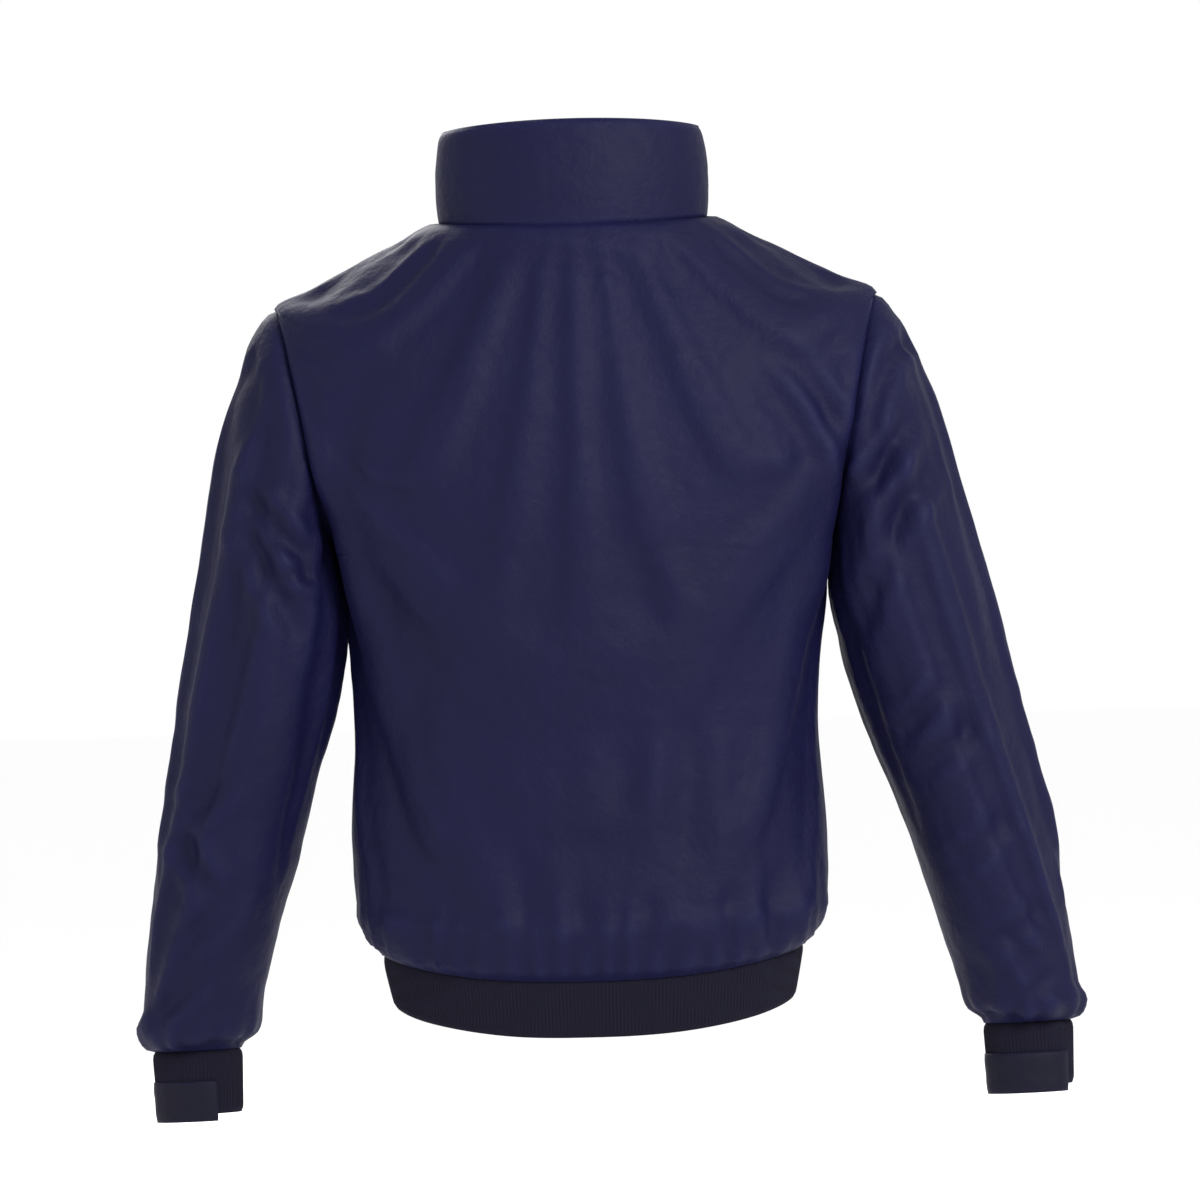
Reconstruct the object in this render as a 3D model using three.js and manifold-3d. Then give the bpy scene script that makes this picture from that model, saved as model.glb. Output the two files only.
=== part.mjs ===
// A foul weather jacket: a fleece-lined blouson with a zipped front, a stand collar, set-in sleeves, zipped
// hand pockets, and knitted rib at the hem and cuffs, filled out as it is when it is worn.
// Millimetres. The origin is where a peg bears under the hanger loop at the back of the neck. +Z is up, the
// zipped front faces -Y, and the wearer's left is +X.
import * as THREE from "three";
import Module from "manifold-3d";
import { mergeVertices } from "three/addons/utils/BufferGeometryUtils.js";

const wasm = await Module();
wasm.setup();

// ---- Body sizes ----
const neckHalfWidth = 113; // half the width of the neckline, seam to seam
const shoulderHalfWidth = 250;
const chestHalfWidth = 211; // at the underarm
const waistHalfWidth = 190.5;
const blouseHalfWidth = 197; // where the body hangs over the hem band
const hemHalfWidth = 178; // at the seam with the hem band
const neckPointZ = -19; // height of the neckline at the shoulder seam
const shoulderDrop = 67; // neck point down to the shoulder point
const armholeDepth = 204; // shoulder point down to the underarm
const sideLength = 338; // underarm down to the hem band
const sideTaper = 94.6; // underarm down to where the side has narrowed to the waist
// The most that an armhole reaches round the body each way.
const armholeReach = THREE.MathUtils.degToRad(50);
const sideY = -72; // the side seams' plane
const napeY = 12.6; // outside of the neckline at the centre back
const shoulderBladeY = 55; // outside of the back at its fullest

// ---- Front zip line: straight, and leaning back from hem to chin ----
const zipTopY = -150;
const zipTopZ = 50;
const zipLean = 0.0523;
const frontEdge = 6.5; // from the centre line to the folded edge of each front
const foldX = 100; // the seam that each front opens about

// ---- Cloth ----
const shellThickness = 1.2;
const fleeceThickness = 3;
const collarFleeceThickness = 2.5;
const sleeveLiningThickness = 1.5;
const layerGap = 0.8;
const seamGap = 0.4;
const cuffSeamGap = 0.7;
const ribThickness = 3;

// ---- Collar and hem band ----
const collarTopHalfWidth = 110;
const collarTopZ = 58; // at the sides
const collarBulge = 1.5;
const collarForwardLean = 7; // how far the collar leans forward at the back
const bandHeight = 46.5;
const bandTopHalfWidth = 177;
const bandFootHalfWidth = 168;

// ---- Sleeves and cuffs ----
const sleeveDrop = 617; // shoulder point down to the cuff seam
const cuffHeight = 55;
const cuffHalfWidth = 38;
const cuffHalfDepth = 31;
const cuffTaper = 2;
const wristY = -100;
const sleeveSplay = { left: -1.3, right: 1.3 }; // degrees that each sleeve hangs out from the mean

// ---- Zips, loop, tabs and pockets ----
const zipTapeWidth = 13.6;
const zipTapeThickness = 0.8;
const toothReach = 2.8; // width of one row of teeth
const toothThickness = 2.6;
const chainGap = 0.6; // from the centre line to a row of teeth
const zipClearance = 0.9; // the tape lies this far behind the cloth where the cloth curves away from it
const sliderLength = 14;
const sliderWidth = 11;
const sliderPost = 0.8;
const pullerLength = 32;
const pullerWidth = 7;
const loopSpan = 44;
const loopWidth = 6.4;
const loopThickness = 1.5;
const loopHeight = 24;
const pocketLength = 150;
const pocketWeltWidth = 20;
const pocketSlotWidth = 8;
const pocketTopX = 120;
const pocketFootX = 152;
const pocketFootRise = 51.5; // hem seam up to the foot of the pocket
const pocketRoom = 3.2; // between the shell and its lining, for wadding and for the pocket bag
const bagGap = 0.42;
const pocketSliderLength = 10;
const tabWidth = 34;
const tabThickness = 1.6;
const tabOverhang = 6; // how far a cuff tab hangs below its cuff

const PANEL_ROWS = { body: 7, armhole: 8, shoulder: 3 };
const FRONT_COLUMNS = 6; // of the front panels and of the collar's fronts, which share a seam
const AROUND_SLEEVE = 2 * PANEL_ROWS.armhole;

const shoulderZ = neckPointZ - shoulderDrop;
const underarmZ = shoulderZ - armholeDepth;
const hemSeamZ = underarmZ - sideLength;
const liningDepth = shellThickness + pocketRoom;
const closeDepth = shellThickness + layerGap; // of a lining that lies close inside its shell
const mix = THREE.MathUtils.lerp;
const QUARTER = Math.PI / 2;
const zipY = (z) => zipTopY - (zipTopZ - z) * zipLean;

// ---- Rings: one horizontal outline of the garment, described by where its side, back and front lie ----
const ring = (side, half, backDip, frontDip, backY, fullness, square) => ({
  side,
  half,
  backDip,
  frontDip,
  backY,
  fullness,
  square,
});

// From the neckline down to the hem seam. A dip is how far the outline falls from the side to the middle,
// fullness is the swell of the chest beside the zip, and square is the outline's superellipse exponent.
const torsoRings = [
  ring(neckPointZ, neckHalfWidth, 5, 59, napeY, 0, 2),
  ring(mix(neckPointZ, shoulderZ, 0.33), mix(neckHalfWidth, shoulderHalfWidth, 0.4), 25, 74, 24, 2, 2),
  ring(mix(neckPointZ, shoulderZ, 0.78), mix(neckHalfWidth, shoulderHalfWidth, 0.79), 43, 85, 38, 6, 2.1),
  ring(shoulderZ, shoulderHalfWidth, 52, 89, 43, 8, 2.15),
  ring(mix(shoulderZ, underarmZ, 0.24), shoulderHalfWidth + 12, 45, 76, 50, 12, 2.3),
  ring(mix(shoulderZ, underarmZ, 0.51), shoulderHalfWidth + 8, 32, 53, shoulderBladeY - 1, 14, 2.4),
  ring(
    mix(shoulderZ, underarmZ, 0.75),
    mix(shoulderHalfWidth, chestHalfWidth, 0.36),
    18,
    30,
    shoulderBladeY,
    14,
    2.4,
  ),
  ring(underarmZ, chestHalfWidth, 8, 13, shoulderBladeY - 1, 12, 2.4),
  ring(underarmZ - 0.43 * sideTaper, mix(chestHalfWidth, waistHalfWidth, 0.44), 4, 6, 51, 10, 2.4),
  ring(underarmZ - sideTaper, mix(chestHalfWidth, waistHalfWidth, 0.83), 0, 0, 46, 8, 2.4),
  ring(mix(underarmZ, hemSeamZ, 0.47), waistHalfWidth, 0, 0, 38, 6, 2.4),
  ring(mix(underarmZ, hemSeamZ, 0.73), blouseHalfWidth - 0.5, 0, 0, 40, 8, 2.35),
  ring(mix(underarmZ, hemSeamZ, 0.89), blouseHalfWidth, 5, 2, 42, 10, 2.3),
  ring(mix(underarmZ, hemSeamZ, 0.953), mix(blouseHalfWidth, hemHalfWidth, 0.4), 12, 5, 36, 8, 2.3),
  ring(hemSeamZ, hemHalfWidth, 25, 12, 24, 2, 2.3),
];

// The slope at each station that keeps a curve through the stations from overshooting them.
function gentleSlopes(xs, ys) {
  const rise = xs.slice(1).map((x, i) => (ys[i + 1] - ys[i]) / (x - xs[i]));
  return xs.map((_, i) => {
    if (i === 0) return rise[0];
    if (i === rise.length) return rise[i - 1];
    return rise[i - 1] * rise[i] <= 0 ? 0 : (2 * rise[i - 1] * rise[i]) / (rise[i - 1] + rise[i]);
  });
}

// A smooth function through stations (xs ascending).
function smoothThrough(xs, ys) {
  const slopes = gentleSlopes(xs, ys);
  return (x) => {
    let i = 0;
    while (i < xs.length - 2 && x > xs[i + 1]) i++;
    const span = xs[i + 1] - xs[i];
    const t = THREE.MathUtils.clamp((x - xs[i]) / span, 0, 1);
    const t2 = t * t;
    const t3 = t2 * t;
    return (
      (2 * t3 - 3 * t2 + 1) * ys[i] +
      (t3 - 2 * t2 + t) * span * slopes[i] +
      (3 * t2 - 2 * t3) * ys[i + 1] +
      (t3 - t2) * span * slopes[i + 1]
    );
  };
}

// A function from height at the side seam to the ring there.
function ringsThrough(rings) {
  const rising = [...rings].sort((a, b) => a.side - b.side);
  const heights = rising.map((r) => r.side);
  const keys = Object.keys(rising[0]).filter((k) => k !== "side");
  const curves = keys.map((k) => [k, smoothThrough(heights, rising.map((r) => r[k]))]);
  return (side) => ({ side, ...Object.fromEntries(curves.map(([k, f]) => [k, f(side)])) });
}

const power = (value, exponent) => Math.sign(value) * Math.abs(value) ** exponent;

// The point of a ring at an angle: 0 is the centre back, a quarter turn the side seam, a half turn the zip.
// A negative angle is the wearer's right.
function ringPoint(r, angle) {
  const across = Math.sin(angle);
  const along = Math.cos(angle);
  const frontZ = r.side - r.frontDip;
  const dip = along > 0 ? r.backDip : r.frontDip;
  const x = r.half * power(across, 2 / r.square);
  const reach = along > 0 ? r.backY - sideY : sideY - zipY(frontZ);
  const swell = along > 0 ? 0 : r.fullness * Math.sin(2 * angle) ** 2;
  const y = sideY + reach * power(along, 2 / r.square) - swell;
  return new THREE.Vector3(x, y, r.side - dip * Math.abs(along) ** 1.5);
}

// The angle, on the front, at which a ring is x from the centre line.
const frontAngle = (r, x) => Math.PI - Math.asin(Math.min(1, (x / r.half) ** (r.square / 2)));

const torsoRing = ringsThrough(torsoRings);
const torso = (side, angle) => ringPoint(torsoRing(side), angle);

const collarFoot = { ...torsoRings[0], side: neckPointZ + seamGap };
const collarTop = ring(collarTopZ, collarTopHalfWidth, -7, 9, napeY - collarForwardLean, 0, 2);
const collarMiddle = ring(
  mix(collarFoot.side, collarTopZ, 0.4),
  mix(neckHalfWidth, collarTopHalfWidth, 0.4) + collarBulge,
  mix(collarFoot.backDip, collarTop.backDip, 0.4),
  mix(collarFoot.frontDip, collarTop.frontDip, 0.4),
  mix(collarFoot.backY, collarTop.backY, 0.3),
  0,
  2,
);
const collarRing = ringsThrough([collarFoot, collarMiddle, collarTop]);
const collar = (side, angle) => ringPoint(collarRing(side), angle);

const bandTop = { ...torsoRings.at(-1), side: hemSeamZ - seamGap, half: bandTopHalfWidth };
const bandFoot = ring(bandTop.side - bandHeight, bandFootHalfWidth, 27, 12, 16, 0, 2.3);
const bandRing = ringsThrough([bandTop, bandFoot]);
const band = (side, angle) => ringPoint(bandRing(side), angle);

// ---- Cloth pieces: closed solids of one thickness that follow a surface ----

// The outward normal of a surface whose places are a distance along the garment and an angle round it.
function outward(surface, a, b) {
  const along = surface(a + 0.5, b).sub(surface(a - 0.5, b));
  const around = surface(a, b + 0.002).sub(surface(a, b - 0.002));
  return along.cross(around).normalize();
}

function closedGeometry(points, triangles) {
  const geometry = new THREE.BufferGeometry();
  const flat = new Float32Array(points.flatMap((p) => [p.x, p.y, p.z]));
  geometry.setAttribute("position", new THREE.BufferAttribute(flat, 3));
  geometry.setIndex(triangles.flat());
  return geometry;
}

// `grid` is rows of [a, b] places on the surface, from bottom to top and in the surface's turning sense.
// The piece's outer face lies `depth` inside the surface. `turn` is -1 where the surface's normals point in.
function clothPiece(surface, grid, thickness, { depth = 0, tube = false, turn = 1 } = {}) {
  const rows = grid.length;
  const columns = grid[0].length;
  const points = [];
  for (const layer of [depth, depth + thickness])
    for (const row of grid)
      for (const [a, b] of row)
        points.push(surface(a, b).addScaledVector(outward(surface, a, b), -turn * layer));
  const at = (layer, i, j) => layer * rows * columns + i * columns + (j % columns);
  const triangles = [];
  const quad = (p, q, r, s) => triangles.push([p, q, r], [p, r, s]);
  const spans = tube ? columns : columns - 1;
  for (let i = 0; i < rows - 1; i++)
    for (let j = 0; j < spans; j++) {
      quad(at(0, i, j), at(0, i, j + 1), at(0, i + 1, j + 1), at(0, i + 1, j));
      quad(at(1, i, j), at(1, i + 1, j), at(1, i + 1, j + 1), at(1, i, j + 1));
    }
  for (let j = 0; j < spans; j++) {
    quad(at(0, 0, j), at(1, 0, j), at(1, 0, j + 1), at(0, 0, j + 1));
    quad(at(0, rows - 1, j), at(0, rows - 1, j + 1), at(1, rows - 1, j + 1), at(1, rows - 1, j));
  }
  if (!tube)
    for (let i = 0; i < rows - 1; i++) {
      quad(at(0, i, 0), at(0, i + 1, 0), at(1, i + 1, 0), at(1, i, 0));
      quad(
        at(0, i, columns - 1),
        at(1, i, columns - 1),
        at(1, i + 1, columns - 1),
        at(0, i + 1, columns - 1),
      );
    }
  const solid = solidOf(closedGeometry(points, triangles));
  if (solid.volume() > 0) return geometryOf(solid);
  const turned = triangles.map(([p, q, r]) => [p, r, q]);
  return closedGeometry(points, turned);
}

function solidOf(geometry) {
  const bare = new THREE.BufferGeometry();
  bare.setAttribute("position", geometry.getAttribute("position"));
  bare.setIndex(geometry.index);
  const merged = mergeVertices(bare, 1e-4);
  return new wasm.Manifold(
    new wasm.Mesh({
      numProp: 3,
      vertProperties: merged.attributes.position.array,
      triVerts: new Uint32Array(merged.index.array),
    }),
  );
}

function geometryOf(solid) {
  const mesh = solid.getMesh();
  const geometry = new THREE.BufferGeometry();
  geometry.setAttribute("position", new THREE.BufferAttribute(mesh.vertProperties, 3));
  geometry.setIndex(new THREE.BufferAttribute(mesh.triVerts, 1));
  return geometry;
}

const placed = (geometry, matrix) => geometry.clone().applyMatrix4(matrix);
const join = (...geometries) => geometryOf(geometries.map(solidOf).reduce((a, b) => a.add(b)));
const cut = (geometry, ...tools) =>
  geometryOf(tools.map(solidOf).reduce((a, b) => a.subtract(b), solidOf(geometry)));

// A box between two corners.
function block(x0, y0, z0, x1, y1, z1) {
  const box = new THREE.BoxGeometry(x1 - x0, y1 - y0, z1 - z0);
  return box.translate((x0 + x1) / 2, (y0 + y1) / 2, (z0 + z1) / 2);
}

// Heights at which the torso's pieces have rows. In the armhole they follow the cosine of the angle round it,
// so that the panels and the sleeve share their corners.
const armholeMiddle = (shoulderZ + underarmZ) / 2;
const torsoHeights = [
  ...Array.from({ length: PANEL_ROWS.body }, (_, i) =>
    mix(hemSeamZ, underarmZ, (i / PANEL_ROWS.body) ** 1.35),
  ),
  ...Array.from(
    { length: PANEL_ROWS.armhole },
    (_, i) => armholeMiddle - (armholeDepth / 2) * Math.cos((Math.PI * i) / PANEL_ROWS.armhole),
  ),
  ...Array.from({ length: PANEL_ROWS.shoulder + 1 }, (_, i) =>
    mix(shoulderZ, neckPointZ, i / PANEL_ROWS.shoulder),
  ),
];

// The armhole is where a plane through the shoulder point and the underarm cuts the torso. Its normal points
// out of the sleeve's side of the body, and each sleeve swings in this plane.
const armholeLean = Math.atan2(shoulderHalfWidth - chestHalfWidth, armholeDepth);
const outOfArmhole = new THREE.Vector3(Math.cos(armholeLean), 0, -Math.sin(armholeLean));
const shoulderPoint = new THREE.Vector3(shoulderHalfWidth, sideY, shoulderZ);
const pastArmhole = (point) => point.clone().sub(shoulderPoint).dot(outOfArmhole);

// How far round from the side seam the armhole's edge lies at a height, or 0 above and below it. `way` is -1
// for its back edge and 1 for its front edge.
const armholeAngle = (side, way) => {
  if (side >= shoulderZ - 0.01 || side <= underarmZ + 0.01) return 0;
  let near = 0;
  let far = armholeReach;
  for (let i = 0; i < 40; i++) {
    const middle = (near + far) / 2;
    if (pastArmhole(torso(side, QUARTER + way * middle)) > 0) near = middle;
    else far = middle;
  }
  return near;
};

const across = (from, to, count) => Array.from({ length: count + 1 }, (_, i) => mix(from, to, i / count));
const seam = 0.0018; // half a seam gap, as an angle round the body

// The places of a panel between two edges, each a function from height to angle.
const panelGrid = (heights, left, right, columns) =>
  heights.map((h) => across(left(h), right(h), columns).map((angle) => [h, angle]));

// The same places on the other half of the garment.
const mirrored = (grid) => grid.map((row) => [...row].reverse().map(([h, angle]) => [h, -angle]));
const onSide = (turn, grid) => (turn > 0 ? grid : mirrored(grid));

// A grid whose last column is moved to another edge.
const trimmed = (grid, edge) => grid.map((row) => [...row.slice(0, -1), [row[0][0], edge(row[0][0])]]);

const root = new THREE.Group();
root.name = "foul_weather_jacket";

const finishes = {
  shell: new THREE.MeshStandardMaterial({ color: 0x292b4a, roughness: 0.55, metalness: 0 }),
  fleece: new THREE.MeshStandardMaterial({ color: 0x1b2038, roughness: 1, metalness: 0 }),
  lining: new THREE.MeshStandardMaterial({ color: 0x20243c, roughness: 0.45, metalness: 0 }),
  rib: new THREE.MeshStandardMaterial({ color: 0x211f30, roughness: 0.95, metalness: 0 }),
  tape: new THREE.MeshStandardMaterial({ color: 0x1a1c2c, roughness: 0.8, metalness: 0 }),
  plastic: new THREE.MeshStandardMaterial({ color: 0x16182a, roughness: 0.35, metalness: 0 }),
  metal: new THREE.MeshStandardMaterial({ color: 0x8d9094, roughness: 0.3, metalness: 1 }),
  webbing: new THREE.MeshStandardMaterial({ color: 0x15172a, roughness: 0.85, metalness: 0 }),
};

function add(name, finish, geometry) {
  const mesh = new THREE.Mesh(geometry, finishes[finish]);
  mesh.name = name;
  root.add(mesh);
}

const sides = [
  ["left", 1],
  ["right", -1],
];

// ---- Torso panels and their fleece ----
const backEdge = (h) => QUARTER - armholeAngle(h, -1) - seam;
const frontArmEdge = (h) => QUARTER + armholeAngle(h, 1) + seam;
const foldEdge = (h) => frontAngle(torsoRing(h), foldX + seamGap);
const frontInnerEdge = (h) => frontAngle(torsoRing(h), foldX);
const zipEdge = (x) => (h) => frontAngle(torsoRing(h), x);
const backGrid = panelGrid(torsoHeights, (h) => -backEdge(h), backEdge, 16);
const sideGrid = panelGrid(torsoHeights, frontArmEdge, foldEdge, 6);
const liningEdge = frontEdge + zipTapeWidth - 2;

// Deeper in the garment, the two edges of a seam lie closer together, so each lining is cut narrower.
function easedGrid(grid, first, last) {
  const ease = 0.0014 * liningDepth;
  return grid.map((row) => [
    [row[0][0], row[0][1] + first * ease],
    ...row.slice(1, -1),
    [row[0][0], row.at(-1)[1] - last * ease],
  ]);
}

// The pocket lies on a straight slanting line on each front side panel, in a frame of its own: x runs along
// the pocket from foot to top, y across it, and z out of the cloth.
function torsoAt(x, z) {
  return torso(z, frontAngle(torsoRing(z), x));
}
const pocketFootZ = hemSeamZ + pocketFootRise;
const pocketTopZ = pocketFootZ + Math.sqrt(pocketLength ** 2 - (pocketFootX - pocketTopX) ** 2);
const pocketTop = torsoAt(pocketTopX, pocketTopZ);
const pocketFoot = torsoAt(pocketFootX, pocketFootZ);

function pocketFrame(turn) {
  const flip = new THREE.Vector3(turn, 1, 1);
  const top = pocketTop.clone().multiply(flip);
  const foot = pocketFoot.clone().multiply(flip);
  const along = top.clone().sub(foot).normalize();
  const middle = top.clone().add(foot).multiplyScalar(0.5);
  const angle = frontAngle(torsoRing(middle.z), Math.abs(middle.x));
  const out = outward(torso, middle.z, angle).multiply(flip);
  out.addScaledVector(along, -out.dot(along)).normalize();
  const aside = out.clone().cross(along);
  return new THREE.Matrix4().makeBasis(along, aside, out).setPosition(middle);
}

const halfWelt = pocketLength / 2 + 8;
const weltBlock = (grow) =>
  block(-halfWelt - grow, -pocketWeltWidth / 2 - grow, -9, halfWelt + grow, pocketWeltWidth / 2 + grow, 9);

function torsoPieces() {
  add(
    "back_panel",
    "shell",
    clothPiece(torso, backGrid, shellThickness),
  );
  add(
    "back_lining",
    "fleece",
    clothPiece(torso, easedGrid(backGrid, 1, 1), fleeceThickness, { depth: liningDepth }),
  );
  const frontGrid = panelGrid(torsoHeights, frontInnerEdge, zipEdge(frontEdge), FRONT_COLUMNS);
  const frontLiningGrid = easedGrid(trimmed(frontGrid, zipEdge(liningEdge)), 1, 0);
  for (const [side, turn] of sides) {
    const shell = clothPiece(torso, onSide(turn, sideGrid), shellThickness);
    add("side_panel_" + side, "shell", cut(shell, placed(weltBlock(seamGap), pocketFrame(turn))));
    add(
      "side_lining_" + side,
      "fleece",
      clothPiece(torso, onSide(turn, easedGrid(sideGrid, 1, 1)), fleeceThickness, { depth: liningDepth }),
    );
    add("front_panel_" + side, "shell", clothPiece(torso, onSide(turn, frontGrid), shellThickness));
    add(
      "front_lining_" + side,
      "fleece",
      clothPiece(torso, onSide(turn, frontLiningGrid), fleeceThickness, {
        depth: liningDepth,
      }),
    );
  }
}

// ---- Collar: an outer stand and a fleece one inside it, each in a back piece and two front pieces ----
function collarPieces() {
  const heights = across(collarFoot.side, collarTopZ, 4);
  const backTo = (h) => frontAngle(collarRing(h), foldX + seamGap);
  const frontFrom = (h) => frontAngle(collarRing(h), foldX);
  const edge = (x) => (h) => frontAngle(collarRing(h), x);
  const backGrid = panelGrid(heights, (h) => -backTo(h), backTo, 20);
  const frontGrid = panelGrid(heights, frontFrom, edge(frontEdge), FRONT_COLUMNS);
  const inside = { depth: closeDepth };
  add("collar_back", "shell", clothPiece(collar, backGrid, shellThickness));
  add("collar_back_lining", "fleece", clothPiece(collar, backGrid, collarFleeceThickness, inside));
  for (const [side, turn] of sides) {
    const liningGrid = trimmed(frontGrid, edge(liningEdge));
    add("collar_front_" + side, "shell", clothPiece(collar, onSide(turn, frontGrid), shellThickness));
    add(
      "collar_front_lining_" + side,
      "fleece",
      clothPiece(collar, onSide(turn, liningGrid), collarFleeceThickness, inside),
    );
  }
}

// ---- Hem: knitted rib round the back and sides, and a plain cloth tab at each side of the zip ----
function hemPieces() {
  const heights = across(bandFoot.side, bandTop.side, 3);
  const ribTo = (h) => frontAngle(bandRing(h), foldX + seamGap);
  const tabFrom = (h) => frontAngle(bandRing(h), foldX);
  const edge = (h) => frontAngle(bandRing(h), frontEdge);
  add("hem_band", "rib", clothPiece(band, panelGrid(heights, (h) => -ribTo(h), ribTo, 24), ribThickness));
  for (const [side, turn] of sides)
    add(
      "hem_tab_" + side,
      "shell",
      clothPiece(band, onSide(turn, panelGrid(heights, tabFrom, edge, 5)), shellThickness),
    );
}

// ---- Sleeves ----
// Each row is one section across the sleeve: its outer end and its inner end, as reach out from the shoulder
// point or underarm and as a share of the way down, its half depth, and its share of the way forward.
const sleeveSections = [
  [31, 0.073, -1, 0.053, 78, 0],
  [52, 0.17, -4.5, 0.1, 80, 0],
  [68, 0.285, -6, 0.152, 79, 0.03],
  [83, 0.395, -4.5, 0.215, 76, 0.09],
  [98, 0.51, 7, 0.325, 73, 0.2],
  [111, 0.608, 27, 0.467, 69, 0.33],
  [124, 0.708, 46, 0.608, 65, 0.48],
  [136, 0.806, 62, 0.741, 60, 0.64],
  [145, 0.9, 76, 0.867, 54, 0.8],
  [148, 0.956, 85, 0.944, 50, 0.9],
  [146, 0.982, 93, 0.978, 44, 0.96],
];
const wristZ = shoulderZ - sleeveDrop;
const wristX = shoulderHalfWidth + 100;

function swung(point, side, share) {
  const pivot = new THREE.Vector3(shoulderHalfWidth, 0, shoulderZ);
  const angle = THREE.MathUtils.degToRad(sleeveSplay[side]) * THREE.MathUtils.smoothstep(share, 0, 0.35);
  return point.sub(pivot).applyAxisAngle(new THREE.Vector3(0, -1, 0), angle).add(pivot);
}

function armholeEdge(turn) {
  const side = armholeMiddle + (armholeDepth / 2) * Math.cos(turn);
  const way = Math.sin(turn) > 0 ? -1 : 1;
  return torso(side, QUARTER + way * armholeAngle(side, way));
}

// The curve that runs down a sleeve at an angle round it: 0 is the top, a quarter turn the back.
function sleeveLine(side, turn) {
  const points = [armholeEdge(turn)];
  const section = (outerX, outerZ, innerX, innerZ, halfDepth, y, share) => {
    const outer = new THREE.Vector3(outerX, y, outerZ);
    const inner = new THREE.Vector3(innerX, y, innerZ);
    const middle = outer.clone().add(inner).multiplyScalar(0.5);
    const point = middle.clone().addScaledVector(outer.sub(middle), Math.cos(turn));
    point.y += halfDepth * Math.sin(turn);
    points.push(swung(point, side, share));
  };
  for (const [outReach, outShare, inReach, inShare, halfDepth, forward] of sleeveSections)
    section(
      shoulderHalfWidth + outReach,
      shoulderZ - outShare * sleeveDrop,
      chestHalfWidth + inReach,
      underarmZ - inShare * (sleeveDrop - armholeDepth),
      halfDepth,
      mix(sideY, wristY, forward),
      outShare,
    );
  section(wristX + cuffHalfWidth, wristZ, wristX - cuffHalfWidth, wristZ, cuffHalfDepth, wristY, 1);
  return new THREE.CatmullRomCurve3(points, false, "centripetal");
}

function sleeveSurface(side, turn) {
  const lines = new Map();
  return (along, angle) => {
    const key = angle.toFixed(6);
    if (!lines.has(key)) lines.set(key, sleeveLine(side, angle));
    const point = lines.get(key).getPoint(THREE.MathUtils.clamp(along / sleeveDrop, 0, 1));
    point.x *= turn;
    return point;
  };
}

const cuffMiddle = (side) => swung(new THREE.Vector3(wristX, wristY, wristZ), side, 1);

// The outside of a cuff, by height above its sleeve's seam and angle round it.
function cuffSurface(side, turn, grow = 0) {
  const middle = cuffMiddle(side);
  const lean = THREE.MathUtils.degToRad(sleeveSplay[side]);
  return (up, angle) => {
    const halfWidth = cuffHalfWidth + (cuffTaper * up) / cuffHeight + grow;
    const halfDepth = halfWidth - cuffHalfWidth + cuffHalfDepth;
    const point = new THREE.Vector3(halfWidth * Math.cos(angle), halfDepth * Math.sin(angle), up);
    point.applyAxisAngle(new THREE.Vector3(0, -1, 0), lean).add(middle);
    point.x *= turn;
    return point;
  };
}

const roundGrid = (rows) =>
  rows.map((row) =>
    Array.from({ length: AROUND_SLEEVE }, (_, j) => [row, (2 * Math.PI * j) / AROUND_SLEEVE]),
  );

function sleevePieces() {
  for (const [side, turn] of sides) {
    const surface = sleeveSurface(side, turn);
    const spans = sleeveSections.length + 1;
    const place = (span) => (span / spans) * sleeveDrop;
    const rows = [0.14, ...across(0.5, spans - 0.4, 14), spans].map(place);
    const liningRows = [...rows.slice(1, -1), place(spans - 0.1)];
    add("sleeve_" + side, "shell", clothPiece(surface, roundGrid(rows), shellThickness, { tube: true, turn }));
    add(
      "sleeve_lining_" + side,
      "lining",
      clothPiece(surface, roundGrid(liningRows), sleeveLiningThickness, {
        depth: closeDepth,
        tube: true,
        turn,
      }),
    );
    add(
      "cuff_" + side,
      "rib",
      clothPiece(cuffSurface(side, turn), roundGrid(across(-cuffHeight, -cuffSeamGap, 3)), ribThickness, {
        tube: true,
        turn: -turn,
      }),
    );
  }
}

// ---- Cuff tabs: a strap sewn down at one end and closed with hook and loop at the other ----
// Round the cuff, from the sewn end to the free end.
const tabAngles = { left: [0.1, 2.0], right: [3.05, 0.62] };

function tabPieces() {
  for (const [side, turn] of sides) {
    const foot = -cuffHeight - tabOverhang;
    const [from, to] = tabAngles[side];
    const clearance = seamGap + tabThickness;
    const grid = across(foot, foot + tabWidth, 2).map((up) =>
      across(from, to, 12).map((angle) => [up, angle]),
    );
    add(
      "cuff_tab_" + side,
      "shell",
      clothPiece(cuffSurface(side, turn, clearance), grid, tabThickness, { turn: side === "left" ? -1 : 1 }),
    );
  }
}

// ---- Front zip ----
// The neckline is the sharpest curve behind which the flat tape lies, so it sets how deep the tape is.
const tapeFarEdge = chainGap + toothReach + seamGap + zipTapeWidth;
const neckCurve = 1 - Math.cos(Math.asin(tapeFarEdge / neckHalfWidth));
const zipSeat = shellThickness + zipClearance + neckCurve * (sideY - zipY(neckPointZ));
const toothFace = zipSeat + zipTapeThickness / 2 - toothThickness / 2;
const zipFootZ = bandFoot.side - bandFoot.frontDip + 2;
const zipHeadZ = zipTopZ - 3;
const sliderPark = 16; // the right chain stops this far short of the left one, below the parked slider
const leaning = new THREE.Matrix4().makeShear(0, 0, 0, 0, 0, zipLean);

// A box given by x, by depth behind the zip line and by height, laid along the leaning zip line.
function zipBlock(x0, depth0, z0, x1, depth1, z1) {
  return block(x0, zipY(0) + depth0, z0, x1, zipY(0) + depth1, z1).applyMatrix4(leaning);
}

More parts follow.
